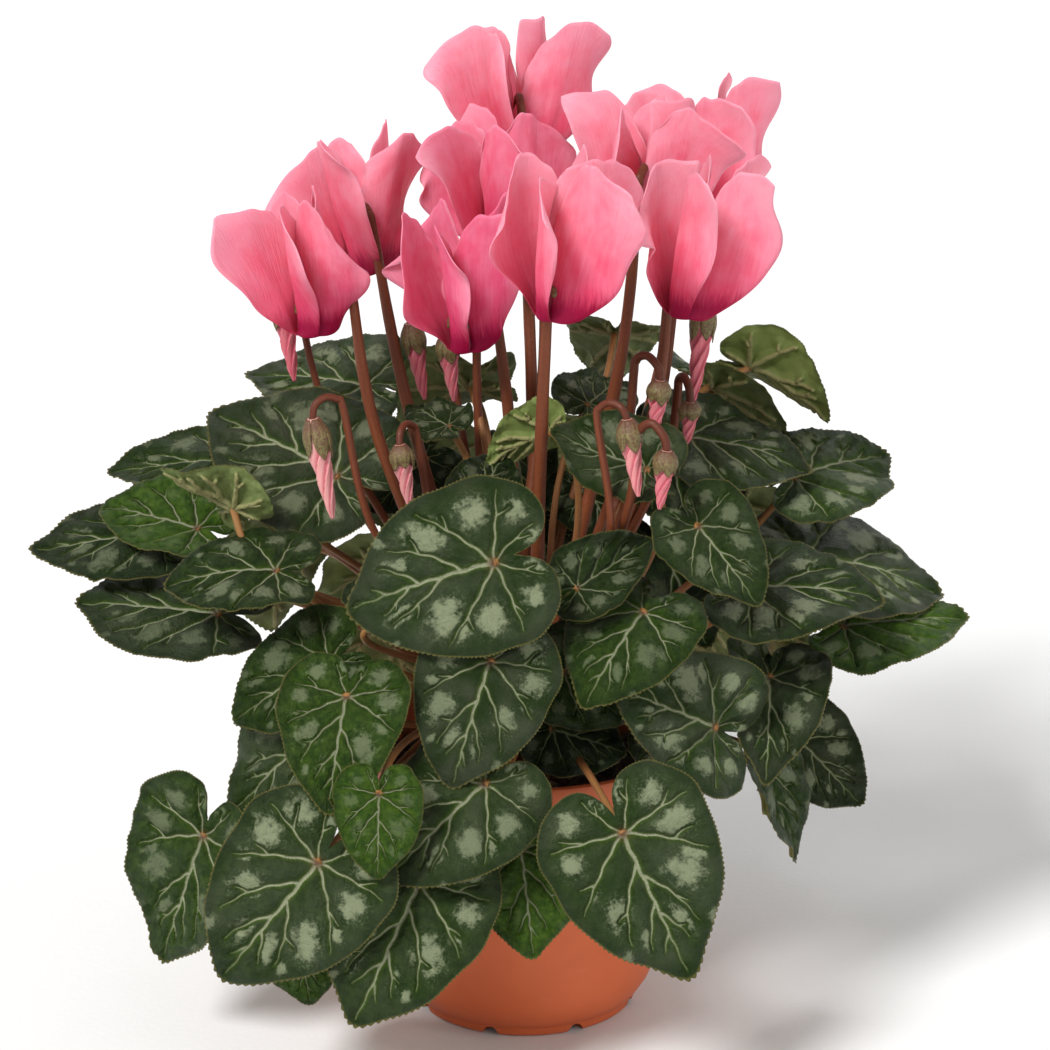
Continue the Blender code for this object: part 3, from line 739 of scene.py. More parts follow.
def leaf_pattern(seed):
    """Points, triangles and margin loop of a flat unit leaf, with its looks at each point."""
    rng = np.random.default_rng(seed)
    lines = vein_lines(rng)
    count = int(TEETH * 4 * FINE)
    turn = np.linspace(0, 360, count, endpoint=False)
    saw = (turn * TEETH / 360) % 1.0
    tooth = np.where(saw < 0.6, saw / 0.6, (1 - saw) / 0.4)
    lobes = 1 + 0.012 * np.sin(np.radians(turn * 7 + seed * 50)) + 0.008 * np.sin(
        np.radians(turn * 11 + seed * 20))
    radius = edge_at(turn) * lobes * (1 + 2 * TOOTH * (tooth - 0.5))
    margin = np.stack([radius * np.cos(np.radians(turn)), radius * np.sin(np.radians(turn))], 1)
    along = []
    for line, width in lines:
        ahead = unit(np.gradient(line, axis=0))
        side = np.stack([-ahead[:, 1], ahead[:, 0]], axis=1)
        for k in (-1.6, -0.7, 0, 0.7, 1.6):
            along.append(line + side * (width * k)[:, None])
    along = np.vstack(along)
    along = along[inside_blade(along, 0.96)]
    keep = np.ones(len(along), dtype=bool)
    for i in range(1, len(along)):
        back = slice(max(0, i - LOOK_BACK), i)
        lately = along[back][keep[back]]
        if len(lately) and np.min(np.abs(lately - along[i]).sum(axis=1)) < VEIN_GAP:
            keep[i] = False
    along = along[keep]
    x = np.arange(-0.6, 1.05, LATTICE)
    y = np.arange(-0.6, 0.6, LATTICE * 0.866)
    grid = np.array([(a + (j % 2) * LATTICE / 2, b) for j, b in enumerate(y) for a in x])
    grid = grid + rng.uniform(-0.2, 0.2, grid.shape) * LATTICE
    grid = grid[inside_blade(grid, 0.965)]
    cells = {}
    for p in along:
        cells.setdefault((int(p[0] // LATTICE), int(p[1] // LATTICE)), []).append(p)
    free = []
    for p in grid:
        a, b = int(p[0] // LATTICE), int(p[1] // LATTICE)
        near = [q for i in (-1, 0, 1) for j in (-1, 0, 1) for q in cells.get((a + i, b + j), ())]
        gaps = [abs(q[0] - p[0]) + abs(q[1] - p[1]) for q in near]
        free.append(not gaps or min(gaps) > LATTICE * 0.7)
    flat = np.vstack([margin, margin * INNER_RING, along, grid[np.array(free)]])
    ring = [(i, (i + 1) % count) for i in range(count)]
    out = delaunay_2d_cdt([tuple(p) for p in flat], ring, [], 1, 1e-6)
    points = np.array([tuple(p) for p in out[0]])
    triangles = np.array([tuple(f) for f in out[2]])
    origin = out[3]
    loop = np.full(count, -1)
    for new, olds in enumerate(origin):
        for old in olds:
            if old < count:
                loop[old] = new
    loop = loop[loop >= 0]
    middle = points[triangles].mean(axis=1)
    turned = np.degrees(np.arctan2(middle[:, 1], middle[:, 0])) % 360
    edge = np.interp(turned, np.append(turn, 360), np.append(radius, radius[0]))
    triangles = triangles[np.hypot(middle[:, 0], middle[:, 1]) < edge * 1.002]
    gap, strength = nearest_gap(points, lines)
    rho = np.hypot(points[:, 0], points[:, 1])
    angle = np.degrees(np.arctan2(points[:, 1], points[:, 0]))
    share = rho / (edge_at(angle) * np.interp(angle % 360, turn, lobes))
    heart = np.exp(-(rho / 0.035) ** 2)
    silver = silver_field(points, gap, rng)
    looks = np.stack([strength, np.clip(share, 0, 1), silver, heart], axis=1)
    return points, triangles, loop, looks, np.clip(gap / 0.075, 0, 1)


def knot_places():
    """The flat places of the 29 knots that carry a leaf."""
    places = [(0.0, 0.0)]
    for share in (INNER_SHARE, 1.0):
        for degrees, reach in SPOKES:
            a = math.radians(degrees)
            places.append((share * reach * math.cos(a), share * reach * math.sin(a)))
    return np.array(places)


KNOTS = knot_places()


def plate_kernel(a, b):
    """The thin plate's kernel between two sets of points."""
    d2 = ((a[:, None] - b[None]) ** 2).sum(axis=2)
    return 0.5 * d2 * np.log(np.maximum(d2, 1e-12))


def plate_solver():
    """The matrix that turns knot targets into the plate's weights."""
    n = len(KNOTS)
    system = np.zeros((n + 3, n + 3))
    system[:n, :n] = plate_kernel(KNOTS, KNOTS) + 1e-5 * np.eye(n)
    system[:n, n] = system[n, :n] = 1
    system[:n, n + 1:] = KNOTS
    system[n + 1:, :n] = KNOTS.T
    return np.linalg.inv(system)


SOLVE = plate_solver()


def shaped(flat, weights):
    """Flat points carried by the plate."""
    return (plate_kernel(flat, KNOTS) @ weights[:-3] + weights[-3]
            + flat @ weights[-2:])


def point_normals(points, triangles):
    """Unit normals of a surface at its points."""
    a, b, c = (points[triangles[:, k]] for k in range(3))
    face = np.cross(b - a, c - a)
    normals = np.zeros_like(points)
    for k in range(3):
        np.add.at(normals, triangles[:, k], face)
    return unit(normals + 1e-15)


PATTERNS = [leaf_pattern(seed) for seed in range(5)]


def build_leaf(name, knots, centres, radii, tone, seed):
    """One leaf: a veined blade over the knots and its petiole, as one object."""
    flat, triangles, loop, looks, gap = PATTERNS[seed % len(PATTERNS)]
    rng = np.random.default_rng(seed)
    if seed % 2:
        flat = flat * [1, -1]
        triangles = triangles[:, ::-1]
    size = np.linalg.norm(knots[TIP_KNOT] - knots[0])
    weights = SOLVE @ np.vstack([knots, np.zeros((3, 3))])
    top = shaped(flat, weights)
    normals = point_normals(top, triangles)
    if normals[np.argmax(looks[:, 3])] @ np.cross(knots[1] - knots[0], knots[4] - knots[0]) < 0:
        normals = -normals
    share = looks[:, 1]
    puff = (gap * (1 - 0.5 * share) * PUFF_MM - SINK_MM * looks[:, 0]) * size / (USUAL_MM * MM)
    wave = ripples(flat, seed + 40, 8.0) * 1.25 * share**2
    wave = wave + ripples(flat, seed + 7, 24.0) * 0.45 * share**3
    frill = ripples(flat, seed + 77, 60.0) * 0.2 * share**6
    top = top + normals * ((puff + wave + frill) * MM)[:, None]
    normals = point_normals(top, triangles) * np.sign(
        (point_normals(top, triangles) * normals).sum(axis=1))[:, None]
    thick = BLADE_MM * (0.75 + 0.9 * looks[:, 0] + 0.25 * (1 - share)) * MM
    under = top - normals * (thick + 0.7 * MM * looks[:, 0] ** 2 * (1 - 0.7 * share))[:, None]
    n = len(top)
    up_first = np.cross(top[triangles[:, 1]] - top[triangles[:, 0]],
                        top[triangles[:, 2]] - top[triangles[:, 0]])
    outward = (up_first * normals[triangles[:, 0]]).sum() > 0
    upper = triangles if outward else triangles[:, ::-1]
    lower = upper[:, ::-1] + n
    rim = walled(loop, n)
    tones = np.tile(np.append(tone, rng.uniform(0, 1)), (n, 1))
    slots = [0] * len(upper) + [1] * len(lower) + [0] * len(rim)
    joint = knots[0] - normals[np.argmax(looks[:, 3])] * 0.5 * MM
    path = catmull(np.vstack([joint, centres]), 44)
    swell = np.interp(np.linspace(0, 1, 44), [0, 0.05, 0.3, 1], [1.25, 1.0, 0.92, 1.15])
    p, f, stalk_looks, stalk_uv, _ = rod(path, radii.mean() * swell, 12)
    slots += [2] * len(f)
    return mesh_of(name, np.vstack([top, under, p]), np.vstack([upper, lower, rim, f + 2 * n]),
                   [LEAF_TOP, LEAF_UNDER, PETIOLE], slots,
                   np.vstack([looks, looks, stalk_looks]), np.vstack([flat, flat, stalk_uv]),
                   np.vstack([tones, tones, np.tile(np.append(tone, 0.5), (len(p), 1))]))


# ----- extra leaves

# Leaves between and behind the CAD ones: junction, length, facing (azimuth, elevation), turn
# of the midrib off the slope, fold, droop, side arch, wave, and tone.
GREY = (0.75, 0.0, 0.9)
PLAIN = (0.45, 0.1, 0.6)
DEEP = (0.05, 0.0, 0.35)
FRESH = (0.5, 0.8, 0.15)
EXTRA_LEAVES = {
    "a": ((96, 5, 93), 34, (-75, 25), 40, 10, 15, 10, 1.5, GREY),
    "b": ((17, -72, 175), 32, (-80, 30), 120, 40, 15, 0, 1.5, PLAIN),
    "c": ((-46, -57, 160), 40, (10, 66), 0, 12, 25, 0, 1.5, GREY),
    "d": ((-75, -72, 55), 28, (-95, 15), 8, 10, 20, 0, 1.0, FRESH),
    "e": ((9, -66, 124), 28, (-80, 25), 70, 5, 20, 10, 1.5, DEEP),
    "f": ((45, -58, 118), 26, (-75, 25), 45, 10, 20, 10, 2.0, GREY),
    "g": ((-112, -2, 173), 40, (-95, 62), -110, 15, 20, 0, 1.5, FRESH),
    "h": ((-97, -26, 188), 30, (60, 35), 150, 14, 30, 0, 2.0, PLAIN),
    "i": ((-90, 50, 186), 42, (-250, 55), -80, 8, 30, 0, 2.0, PLAIN),
    "j": ((-26, -4, 210), 20, (-100, 60), -120, 10, 20, 0, 2.0, PLAIN),
    "k": ((-15, -31, 192), 25, (-95, 55), 165, 8, 20, 10, 1.5, DEEP),
    "l": ((-19, 32, 214), 36, (70, 45), 60, 15, 30, 0, 2.5, PLAIN),
    "m": ((8, -18, 212), 26, (92, 30), 60, 24, 25, 10, 1.5, FRESH),
    "n": ((22, 30, 208), 28, (-60, 62), 120, 5, 20, 0, 1.5, PLAIN),
    "o": ((32, 76, 222), 36, (80, 55), 10, 10, 25, 5, 2.0, PLAIN),
    "p": ((80, 58, 214), 36, (66, 38), -70, 22, 35, 10, 2.0, FRESH),
    "q": ((56, 2, 204), 46, (-70, 66), 70, 0, 25, 10, 1.5, PLAIN),
    "y": ((21, 32, 177), 30, (-86, 46), 30, 5, 20, 10, 1.5, DEEP),
    "z": ((-35, 38, 186), 28, (-96, 46), -40, 5, 20, 10, 1.5, DEEP),
    "aa": ((47, 30, 157), 42, (-80, 44), 20, 5, 20, 10, 1.5, DEEP),
    "ab": ((6, 51, 160), 32, (-90, 40), 5, 5, 20, 10, 1.5, DEEP),
    "ac": ((-3, 55, 184), 28, (-92, 60), 10, 6, 20, 10, 2.0, PLAIN),
    "ad": ((46, 34, 190), 48, (-70, 50), 30, 5, 20, 10, 1.5, DEEP),
    "r": ((30, 96, 176), 52, (82, 42), 10, 0, 30, 10, 1.5, GREY),
    "s": ((-40, 92, 170), 52, (100, 38), -10, 0, 28, 10, 1.5, PLAIN),
    "t": ((78, 70, 160), 52, (48, 40), 14, 4, 25, 10, 1.5, GREY),
    "u": ((-88, 66, 150), 50, (130, 36), -10, 0, 28, 10, 1.5, DEEP),
    "v": ((6, 108, 132), 48, (88, 28), 12, 6, 20, 10, 1.5, PLAIN),
    "w": ((-52, 98, 106), 48, (112, 18), -20, 4, 20, 10, 1.5, GREY),
    "x": ((90, 56, 116), 46, (32, 18), 12, 6, 20, 10, 1.5, PLAIN),
}
CREASE = 0.08


def bent(distance, degrees, size):
    """A length laid on an arc that turns by so many degrees over the leaf's size."""
    if abs(degrees) < 0.1:
        return distance, 0.0
    radius = size / math.radians(degrees)
    return radius * math.sin(distance / radius), -radius * (1 - math.cos(distance / radius))


def blade_knots(at, size, face, turn, fold, droop, arch, wave):
    """The 29 knots of a leaf that has no CAD node, shaped as the CAD leaves are."""
    normal = direction(*face)
    slope = direction(face[0], face[1] - 90)
    ahead = (slope * math.cos(math.radians(turn))
             + np.cross(normal, slope) * math.sin(math.radians(turn)))
    left = np.cross(normal, ahead)
    at = np.array(at, dtype=float)
    knots = []
    for x, y in KNOTS * size:
        share = min(1.0, math.hypot(x, y) / (0.5 * size))
        tilt = math.radians(fold)
        rise = (math.hypot(y, CREASE * size) - CREASE * size) * math.sin(tilt)
        forward, drop = bent(x, droop, size)
        side, sag = bent(y * math.cos(tilt), arch, size)
        ripple = wave * share**2 * math.sin(3 * math.atan2(y, x) + size)
        knots.append(at + ahead * forward + left * side + normal * (drop + sag + rise + ripple))
    arrive = unit(0.6 * ahead + 0.8 * normal)
    return np.array(knots) * MM, (at - arrive * 2.5) * MM, arrive


def stalk_path(end, arrive, azimuth, radius):
    """Centres of a stalk from the blade down to the corm."""
    low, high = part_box("corm")
    widest = (high[0] - low[0]) / 2
    middle = (high[2] + low[2]) / 2
    out = direction(azimuth, 0)
    rise = (high[2] - middle) * math.sqrt(1 - (radius * MM / widest) ** 2)
    start = out * radius * MM + UP * (middle + rise * 0.97)
    rising = unit(out * radius * MM / widest**2 + UP * (rise / (high[2] - middle) ** 2) + UP * 60)
    reach = np.linalg.norm(end - start)
    a, b = end - arrive * 0.3 * reach, start + rising * 0.38 * reach
    t = np.linspace(0, 1, 9)[:, None]
    return end * (1 - t)**3 + 3 * a * t * (1 - t)**2 + 3 * b * t**2 * (1 - t) + start * t**3


# ----- flowers

# One petal from the calyx down the tube, round the lip and up the blade, in millimetres at
# scale 1: distance from the flower's axis, height above the mouth, half width.
PETAL_LINE = ((4.0, 9.6, 2.4), (5.4, 7.4, 3.3), (5.9, 4.0, 3.7), (6.1, 1.0, 3.9),
              (6.6, -1.3, 4.3), (7.5, -2.1, 4.8), (8.6, -0.4, 5.5), (10.0, 5.0, 7.8),
              (11.8, 13.0, 11.0), (13.4, 22.5, 13.0), (14.2, 32.0, 13.2), (14.2, 40.5, 11.6),
              (14.6, 47.5, 8.6))
CUP_CENTRES = (36, 108, 180, 252, 324)
BLADE_CENTRES = (56, 117, 180, 243, 304)
CORNER_DROP = 8.5
# Shares of the line over which a petal leaves the round nose and turns to its blade's place.
RISING, SPREADING = (0.42, 0.68), (0.48, 0.78)
NOSE_END, LIP = 0.45, 0.36
PETAL_MM = 0.4
SEPAL_LINE = ((3.2, 10.9, 2.0), (4.8, 10.1, 2.5), (6.0, 8.7, 2.2), (6.4, 7.3, 1.3),
              (6.6, 6.1, 0.15))


def sheet(rows, columns, line, shape):
    """Grid points of a sheet: shape turns (share along, share across, line values) to points."""
    u = np.linspace(0, 1, rows)
    v = np.linspace(-1, 1, columns)
    values = catmull(line, rows)
    uu, vv = np.repeat(u, columns), np.tile(v, rows)
    held = np.repeat(values, columns, axis=0)
    points = shape(uu, vv, held)
    k = np.arange(rows * columns).reshape(rows, columns)
    a, b, c, d = k[:-1, :-1].ravel(), k[:-1, 1:].ravel(), k[1:, 1:].ravel(), k[1:, :-1].ravel()
    faces = np.vstack([np.stack([a, b, c], 1), np.stack([a, c, d], 1)])
    ring = np.concatenate([k[0, :-1], k[:-1, -1], k[-1, :0:-1], k[:0:-1, 0]])
    return points, faces, ring, uu, vv, held


def thickened(points, faces, ring, thick):
    """A closed shell from a sheet: its points, faces, and which points are on the far side."""
    normals = point_normals(points, faces)
    n = len(points)
    shell = np.vstack([points, points - normals * thick[:, None]])
    faces = np.vstack([faces, faces[:, ::-1] + n, walled(ring, n)])
    return shell, faces, np.repeat([0.0, 1.0], n)


def petal_piece(rows, columns, line, rule, slot, thick, thinning=0.0, rib=0.0, tall=1.0,
                shift=0.0):
    """A closed petal or calyx lobe, ready to be assembled."""
    points, faces, ring, u, v, held = sheet(rows, columns, line, rule)
    shell, faces, far = thickened(points, faces, ring, thick * MM * (1 - thinning * u))
    u, v, width = (np.tile(values, 2) for values in (u, v, held[:, 2]))
    looks = channels(u, np.abs(v), far, rib * np.exp(-(v / 0.1) ** 2))
    return shell, faces, looks, np.stack([v * width * 0.1 + shift, u * tall], 1), slot


# Rings of a CAD flower stem, counted from the corm.
HOOK_START, HOOK_END, CALYX_FOOT, CALYX_RIM = 7, 11, 12, 14
HOOK_WIDTH = 13.5       # of a flower at scale 1, in millimetres
RIM_HEIGHT = 10.3       # from the mouth up to the calyx rim
FLOWER_SIZE = 0.94


def flower_frame(centres):
    """Mouth, axes and scale of a flower from the rings of its stem."""
    z = unit(centres[CALYX_FOOT] - centres[CALYX_RIM])
    hook = centres[HOOK_START] - centres[HOOK_END]
    scale = FLOWER_SIZE * np.linalg.norm(hook) / (HOOK_WIDTH * MM)
    x = unit(hook - z * (hook @ z))
    return centres[CALYX_RIM] - z * RIM_HEIGHT * scale * MM, x, np.cross(z, x), z, scale


def petal_shape(frame_axes, k, twist, flare, height, rng):
    """The rule that places a petal's grid."""
    mouth, x, y, z, scale = frame_axes
    cup, blade = math.radians(CUP_CENTRES[k]), math.radians(BLADE_CENTRES[k])
    lean = rng.uniform(-4, 4)
    wide = rng.uniform(0.93, 1.07)
    tall = height * rng.uniform(0.93, 1.05)
    phase = rng.uniform(0, 6.28, 4)
    tilt = twist * rng.uniform(0.8, 1.3)
    sway = rng.uniform(8, 60)
    curl = rng.uniform(-2.6, 3.6)
    hollow = rng.uniform(-0.6, 2.6)
    roll = rng.uniform(2.5, 7.0) * rng.choice([-1, 1])
    skew = rng.uniform(-0.6, 0.6)

    def place(u, v, held):
        r, h, w = held.T
        risen = smoothstep(*RISING, u)
        spread = smoothstep(*SPREADING, u)
        high = smoothstep(0.55, 1.0, u)
        w = w * (1 + (wide - 1) * risen)
        h = np.where(u > NOSE_END, h * tall, h)
        centre = cup + (blade - cup + math.radians(lean)) * spread
        centre = centre + math.radians(tilt * 0.5) * high
        wrap = 1 - 0.5 * risen
        angle = centre + wrap * v * w / r
        turned_by = np.radians(5 + tilt * risen + sway * high)
        across = (1 - wrap) * v * w * np.cos(turned_by)
        out = v * w * np.sin(turned_by)
        out = out * (0.35 + 0.65 * risen) - hollow * risen * (1 - v**2) * 1.2
        ruffle = 2.3 * np.sin(u * 13 + phase[0]) + 1.0 * np.sin(u * 27 + phase[1])
        out = out + ruffle * risen * np.abs(v) ** 2.5 * np.sign(v + 1e-9)
        out = out + high * flare * (0.5 + 0.5 * np.sin(v * 2.1 + phase[2]))
        out = out + roll * smoothstep(0.1, 1.0, v * np.sign(roll)) ** 2 * risen
        out = out + curl * smoothstep(0.8, 1.0, u) * (1 + v)
        ribs = 0.16 * np.cos(v * 13 + phase[3]) * risen * (1 - np.abs(v) ** 4)
        out = out + ribs + 0.25 * np.exp(-(v / 0.15) ** 2) * risen * (1 - high)
        h = h - CORNER_DROP * np.abs(v - skew) ** 2.2 * high**2
        h = h + high**2 * (0.9 * np.sin(v * 4.2 + phase[2]) + 0.35 * np.sin(v * 11 + phase[1]))
        lip = np.exp(-((u - LIP) / 0.07) ** 2)
        h = h - lip * 0.7 * np.cos(v * 1.57)
        radius = (r + out) * scale
        c, s = np.cos(angle), np.sin(angle)
        side = across * scale
        return (mouth / MM + np.outer(radius * c - side * s, x)
                + np.outer(radius * s + side * c, y) + np.outer(h * scale, z)) * MM
    return place


def build_flower(number, centres, tone, twist, flare, height):
    """The five petals, calyx lobes and style of one flower."""
    rng = np.random.default_rng(70 + number)
    axes = flower_frame(centres)
    mouth, x, y, z, scale = axes
    rows, columns = int(60 * FINE), int(26 * FINE)
    pieces = []
    for k in range(5):
        rule = petal_shape(axes, k, twist, flare, height, rng)
        pieces.append(petal_piece(rows, columns, PETAL_LINE, rule, 0, PETAL_MM, 0.4, 1.0, 6.0,
                                  3.0 * k))
    for k in range(5):
        centre = math.radians(CUP_CENTRES[k] + 36)

        def lobe(u, v, held, centre=centre):
            r, h, w = held.T
            angle = centre + v * w / r
            r = r + 0.35 * (1 - v**2)
            c, s = np.cos(angle), np.sin(angle)
            return (mouth / MM + scale * (np.outer(r * c, x) + np.outer(r * s, y)
                                          + np.outer(h, z))) * MM
        pieces.append(petal_piece(16, 9, SEPAL_LINE, lobe, 1, 0.4))
    path = np.array([mouth + z * scale * h * MM for h in (9.0, 5.0, 1.0, -1.2)])
    p, f, looks, uv, slot = rod(catmull(path, 10), np.full(10, 0.5 * MM), 10, 0, 1.0)
    pieces.append((p, f, looks * 0.2, uv, slot))        # the style, as deep as the nose
    return assembled("flower_%02d_fine" % number, pieces, [PETAL, CALYX], tone)


def assembled(name, pieces, materials, tone):
    """One object from closed pieces of (points, triangles, looks, uv, slot)."""
    base, triangles, slots = 0, [], []
    for points, faces, _, _, slot in pieces:
        triangles.append(faces + base)
        slots += [slot] * len(faces)
        base += len(points)
    tones = np.tile(np.array(tone, dtype=float), (base, 1))
    thing = mesh_of(name, np.vstack([p[0] for p in pieces]), np.vstack(triangles), materials,
                    slots, np.vstack([p[2] for p in pieces]), np.vstack([p[3] for p in pieces]),
                    tones)
    fix_winding(thing)
    return thing


def build_stem(name, path, radii, tone):
    """A flower's stem with its hook, round and slightly knobbly."""
    count = int(110 * FINE)
    centres = catmull(path, count)
    thick = np.interp(np.linspace(0, 1, count), np.linspace(0, 1, len(radii)), radii)
    thick = thick * (1 + 0.03 * ripples(centres, len(name), 260.0))
    return assembled(name, [rod(centres, thick, 16)], [STEM], tone)


# ----- buds

BUD_RADII = (1.6, 2.9, 3.6, 3.5, 2.9, 2.5, 2.1, 1.6, 0.6)
FURLS = 5
LOBE_LINE = ((0, 0, 1.2), (0, 0, 2.7), (0, 0, 2.9), (0, 0, 2.2), (0, 0, 0.15))
# Rings of a CAD bud: where its stem ends and where its petals do.
BUD_FOOT, BUD_TIP = 11, 17


def build_bud(name, path, radii, foot, tip, tone, seed):
    """A drooping bud: hooked stem, calyx lobes and petals furled in a spiral."""
    rng = np.random.default_rng(seed)
    axis = unit(tip - foot)
    length = np.linalg.norm(tip - foot)
    count = int(90 * FINE)
    centres = catmull(np.vstack([path, foot + axis * 0.5 * MM]), count)
    thick = np.interp(np.linspace(0, 1, count), np.linspace(0, 1, len(radii)), radii)
    rows, sides = int(56 * FINE), 60
    s = np.linspace(0, 1, rows)
    size = np.interp(s, np.linspace(0, 1, len(BUD_RADII)), BUD_RADII) * MM
    size = np.convolve(np.pad(size, 2, mode="edge"), np.ones(5) / 5, mode="valid")
    size = size * min(1.1, length / (26 * MM) * 0.3 + 0.7)
    body = foot + np.outer(s * length, axis)
    _, a, b = carried_frames(body)
    turn = np.linspace(0, TURN, sides, endpoint=False)
    swirl = rng.uniform(4.2, 5.4)
    step = ((FURLS * (turn[None] - swirl * s[:, None]) / TURN) % 1.0) ** 1.6
    depth = 0.30 * smoothstep(0.05, 0.4, s)[:, None]
    rings = tube_rings(body, size[:, None] * (1 - depth * (1 - step) + 0.10 * depth), sides)
    # how near each point lies to the bottom of a spiral groove; the bud's colour darkens there as
    # painted shade
    furrow_shade = np.clip(1 - step / 0.35, 0, 1).ravel()
    along, around = np.repeat(s, sides), np.tile(turn, rows) / TURN
    uv = np.stack([around * 1.5, along * length * 50], 1)
    pieces = [rod(centres, thick, 14, 0, 1.2),
              (rings.reshape(-1, 3), skinned(rings), channels(along, around, furrow_shade), uv, 1)]
    for lobe in range(5):
        centre = TURN * lobe / 5 + rng.uniform(-0.15, 0.15)
        ends = rng.uniform(0.35, 0.43)

        def place(u, v, held, centre=centre, ends=ends):
            w = held[:, 2]
            far = u * ends
            swell = 0.45 + 0.75 * np.sin(np.minimum(u * 1.3, 1) * math.pi) - 0.15 * v**2
            near = np.interp(far, s, size) + swell * MM
            angle = centre + v * w * MM / np.maximum(near, 1e-4)
            c, q = np.cos(angle), np.sin(angle)
            return (foot + np.outer(far * length, axis)
                    + (near * c)[:, None] * a[0] + (near * q)[:, None] * b[0])
        pieces.append(petal_piece(14, 7, LOBE_LINE, place, 2, 0.3))
    return assembled(name, pieces, [STEM, BUD, CALYX], tone)


# ----- pot and soil

POT_TURNS = 192
POT_PROFILE = (
    (0.0, 0.0), (20.0, 0.0), (37.6, 0.0), (38.5, 0.3), (39.0, 1.0), (39.0, 2.8), (39.3, 3.4),
    (40.2, 3.8), (42.0, 6.6), (44.2, 10.0), (45.1, 12.2), (45.5, 13.4), (48.0, 31.0),
    (52.0, 59.0), (56.1, 88.2), (56.3, 89.1), (56.9, 89.6), (57.8, 89.9), (58.2, 90.6),
    (59.0, 96.0), (59.7, 98.6), (59.6, 99.5), (59.0, 100.0), (57.9, 99.9), (57.2, 99.4),
    (56.8, 98.4), (55.6, 92.0), (54.5, 89.0), (50.0, 58.0), (43.7, 14.0), (36.2, 4.0),
    (34.2, 2.0), (18.0, 2.0), (0.0, 2.0))
DRAINS = 8
DRAIN_REACH, DRAIN_HEIGHT, DRAIN_RADIUS, DRAIN_HALF = 36.0, 1.5, 3.2, 7
DRAIN_SIDES = 24


def turned_body(name, profile, material, n):
    """A closed solid of n sides from a profile that starts and ends on the axis."""
    turn = np.linspace(0, TURN, n, endpoint=False)
    rings = [np.stack([r * np.cos(turn), r * np.sin(turn), np.full(n, h)], 1)
             for r, h in profile[1:-1]]
    points = np.vstack([[(0, 0, profile[0][1])], *rings, [(0, 0, profile[-1][1])]]) * MM
    k = np.arange(n)
    nxt = (k + 1) % n
    faces = [np.stack([0 * k, 1 + nxt, 1 + k], 1)]
    for level in range(len(rings) - 1):
        a = 1 + level * n
        faces += [np.stack([a + k, a + nxt, a + n + nxt], 1),
                  np.stack([a + k, a + n + nxt, a + n + k], 1)]
    last = 1 + (len(rings) - 1) * n
    faces.append(np.stack([0 * k + len(points) - 1, last + k, last + nxt], 1))
    faces = np.vstack(faces)
    blank = np.zeros((len(points), 4))
    thing = mesh_of(name, points, faces, [material], [0] * len(faces), blank,
                    points[:, :2], blank)
    fix_winding(thing)
    return thing


def drain_cutters():
    """Eight short rods through the corner of the foot, as one object."""
    n = DRAIN_SIDES
    turn = np.linspace(0, TURN, n, endpoint=False)
    points, faces = [], []
    for k in range(DRAINS):
        azimuth = 360 * (k + 0.6) / DRAINS
        middle = (direction(azimuth, 0) * DRAIN_REACH + UP * DRAIN_HEIGHT) * MM
        axis = direction(azimuth, -45)
        side = direction(azimuth + 90, 0)
        up = np.cross(side, axis)
        ring = np.outer(np.cos(turn), side) + np.outer(np.sin(turn), up)
        ring = ring * DRAIN_RADIUS * MM
        base = len(points) * n
        half = axis * DRAIN_HALF * MM
        points += [middle - half + ring, middle + half + ring]
        i = np.arange(n)
        j = (i + 1) % n
        faces += [tuple(base + q) for q in np.stack([i, j, j + n, i + n], 1)]
        faces += [tuple(base + i[::-1]), tuple(base + i + n)]
    mesh = bpy.data.meshes.new("drain_rods")
    mesh.from_pydata(np.vstack(points).tolist(), [], [tuple(int(q) for q in f) for f in faces])
    rods = bpy.data.objects.new("drain_rods", mesh)
    bpy.context.scene.collection.objects.link(rods)
    fix_winding(rods)
    return rods


def build_pot():
    """The moulded pot with its drained foot."""
    pot = turned_body("pot_fine", POT_PROFILE, POT, POT_TURNS)
    rods = drain_cutters()
    cut = pot.modifiers.new("drains", "BOOLEAN")
    cut.operation = "DIFFERENCE"
    cut.object = rods
    graph = bpy.context.evaluated_depsgraph_get()
    done = bpy.data.meshes.new_from_object(pot.evaluated_get(graph))
    pot.modifiers.clear()
    pot.data = done
    bpy.data.objects.remove(rods, do_unlink=True)
    pot.data.set_sharp_from_angle(angle=math.radians(38))
    return pot


SOIL_LEVEL, SOIL_REACH, MOUND = 84.0, 54.0, 2.6


def mound(reach):
    """Height of the soil at a distance from the axis."""
    return SOIL_LEVEL + MOUND * (1 - (reach / SOIL_REACH) ** 2)


def displaced(thing, rule):
    """Moves each point of a mesh by what the rule gives for it."""
    mesh = thing.data
    places = np.empty(len(mesh.vertices) * 3, dtype=np.float32)
    mesh.vertices.foreach_get("co", places)
    places = places.reshape(-1, 3)
    mesh.vertices.foreach_set("co", (places + rule(places)).astype(np.float32).ravel())
    mesh.update()
    return thing


def build_soil():
    """Crumbly soil that fills the pot to its mound."""
    profile = [(0.0, 2.3), (30.0, 2.3), (35.9, 4.2), (43.4, 14.2),
               (SOIL_REACH, SOIL_LEVEL - 0.6)]
    profile += [(r, mound(r) + 0.4) for r in np.arange(SOIL_REACH - 1, 1.0, -1.0)]
    profile.append((0.0, SOIL_LEVEL + 3.0))

    def bumps(places):
        top = smoothstep((SOIL_LEVEL - 0.8) * MM, SOIL_LEVEL * MM, places[:, 2])
        reach = np.hypot(places[:, 0], places[:, 1])
        inside = 1 - smoothstep((SOIL_REACH - 2) * MM, SOIL_REACH * MM, reach)
        rise = (0.7 * ripples(places, 3, 500.0) + 0.45 * ripples(places, 4, 1300.0)
                + 0.3 * ripples(places, 5, 2900.0))
        return np.outer(rise * top * inside * MM, UP)
    return displaced(turned_body("soil_fine", profile, SOIL, 150), bumps)


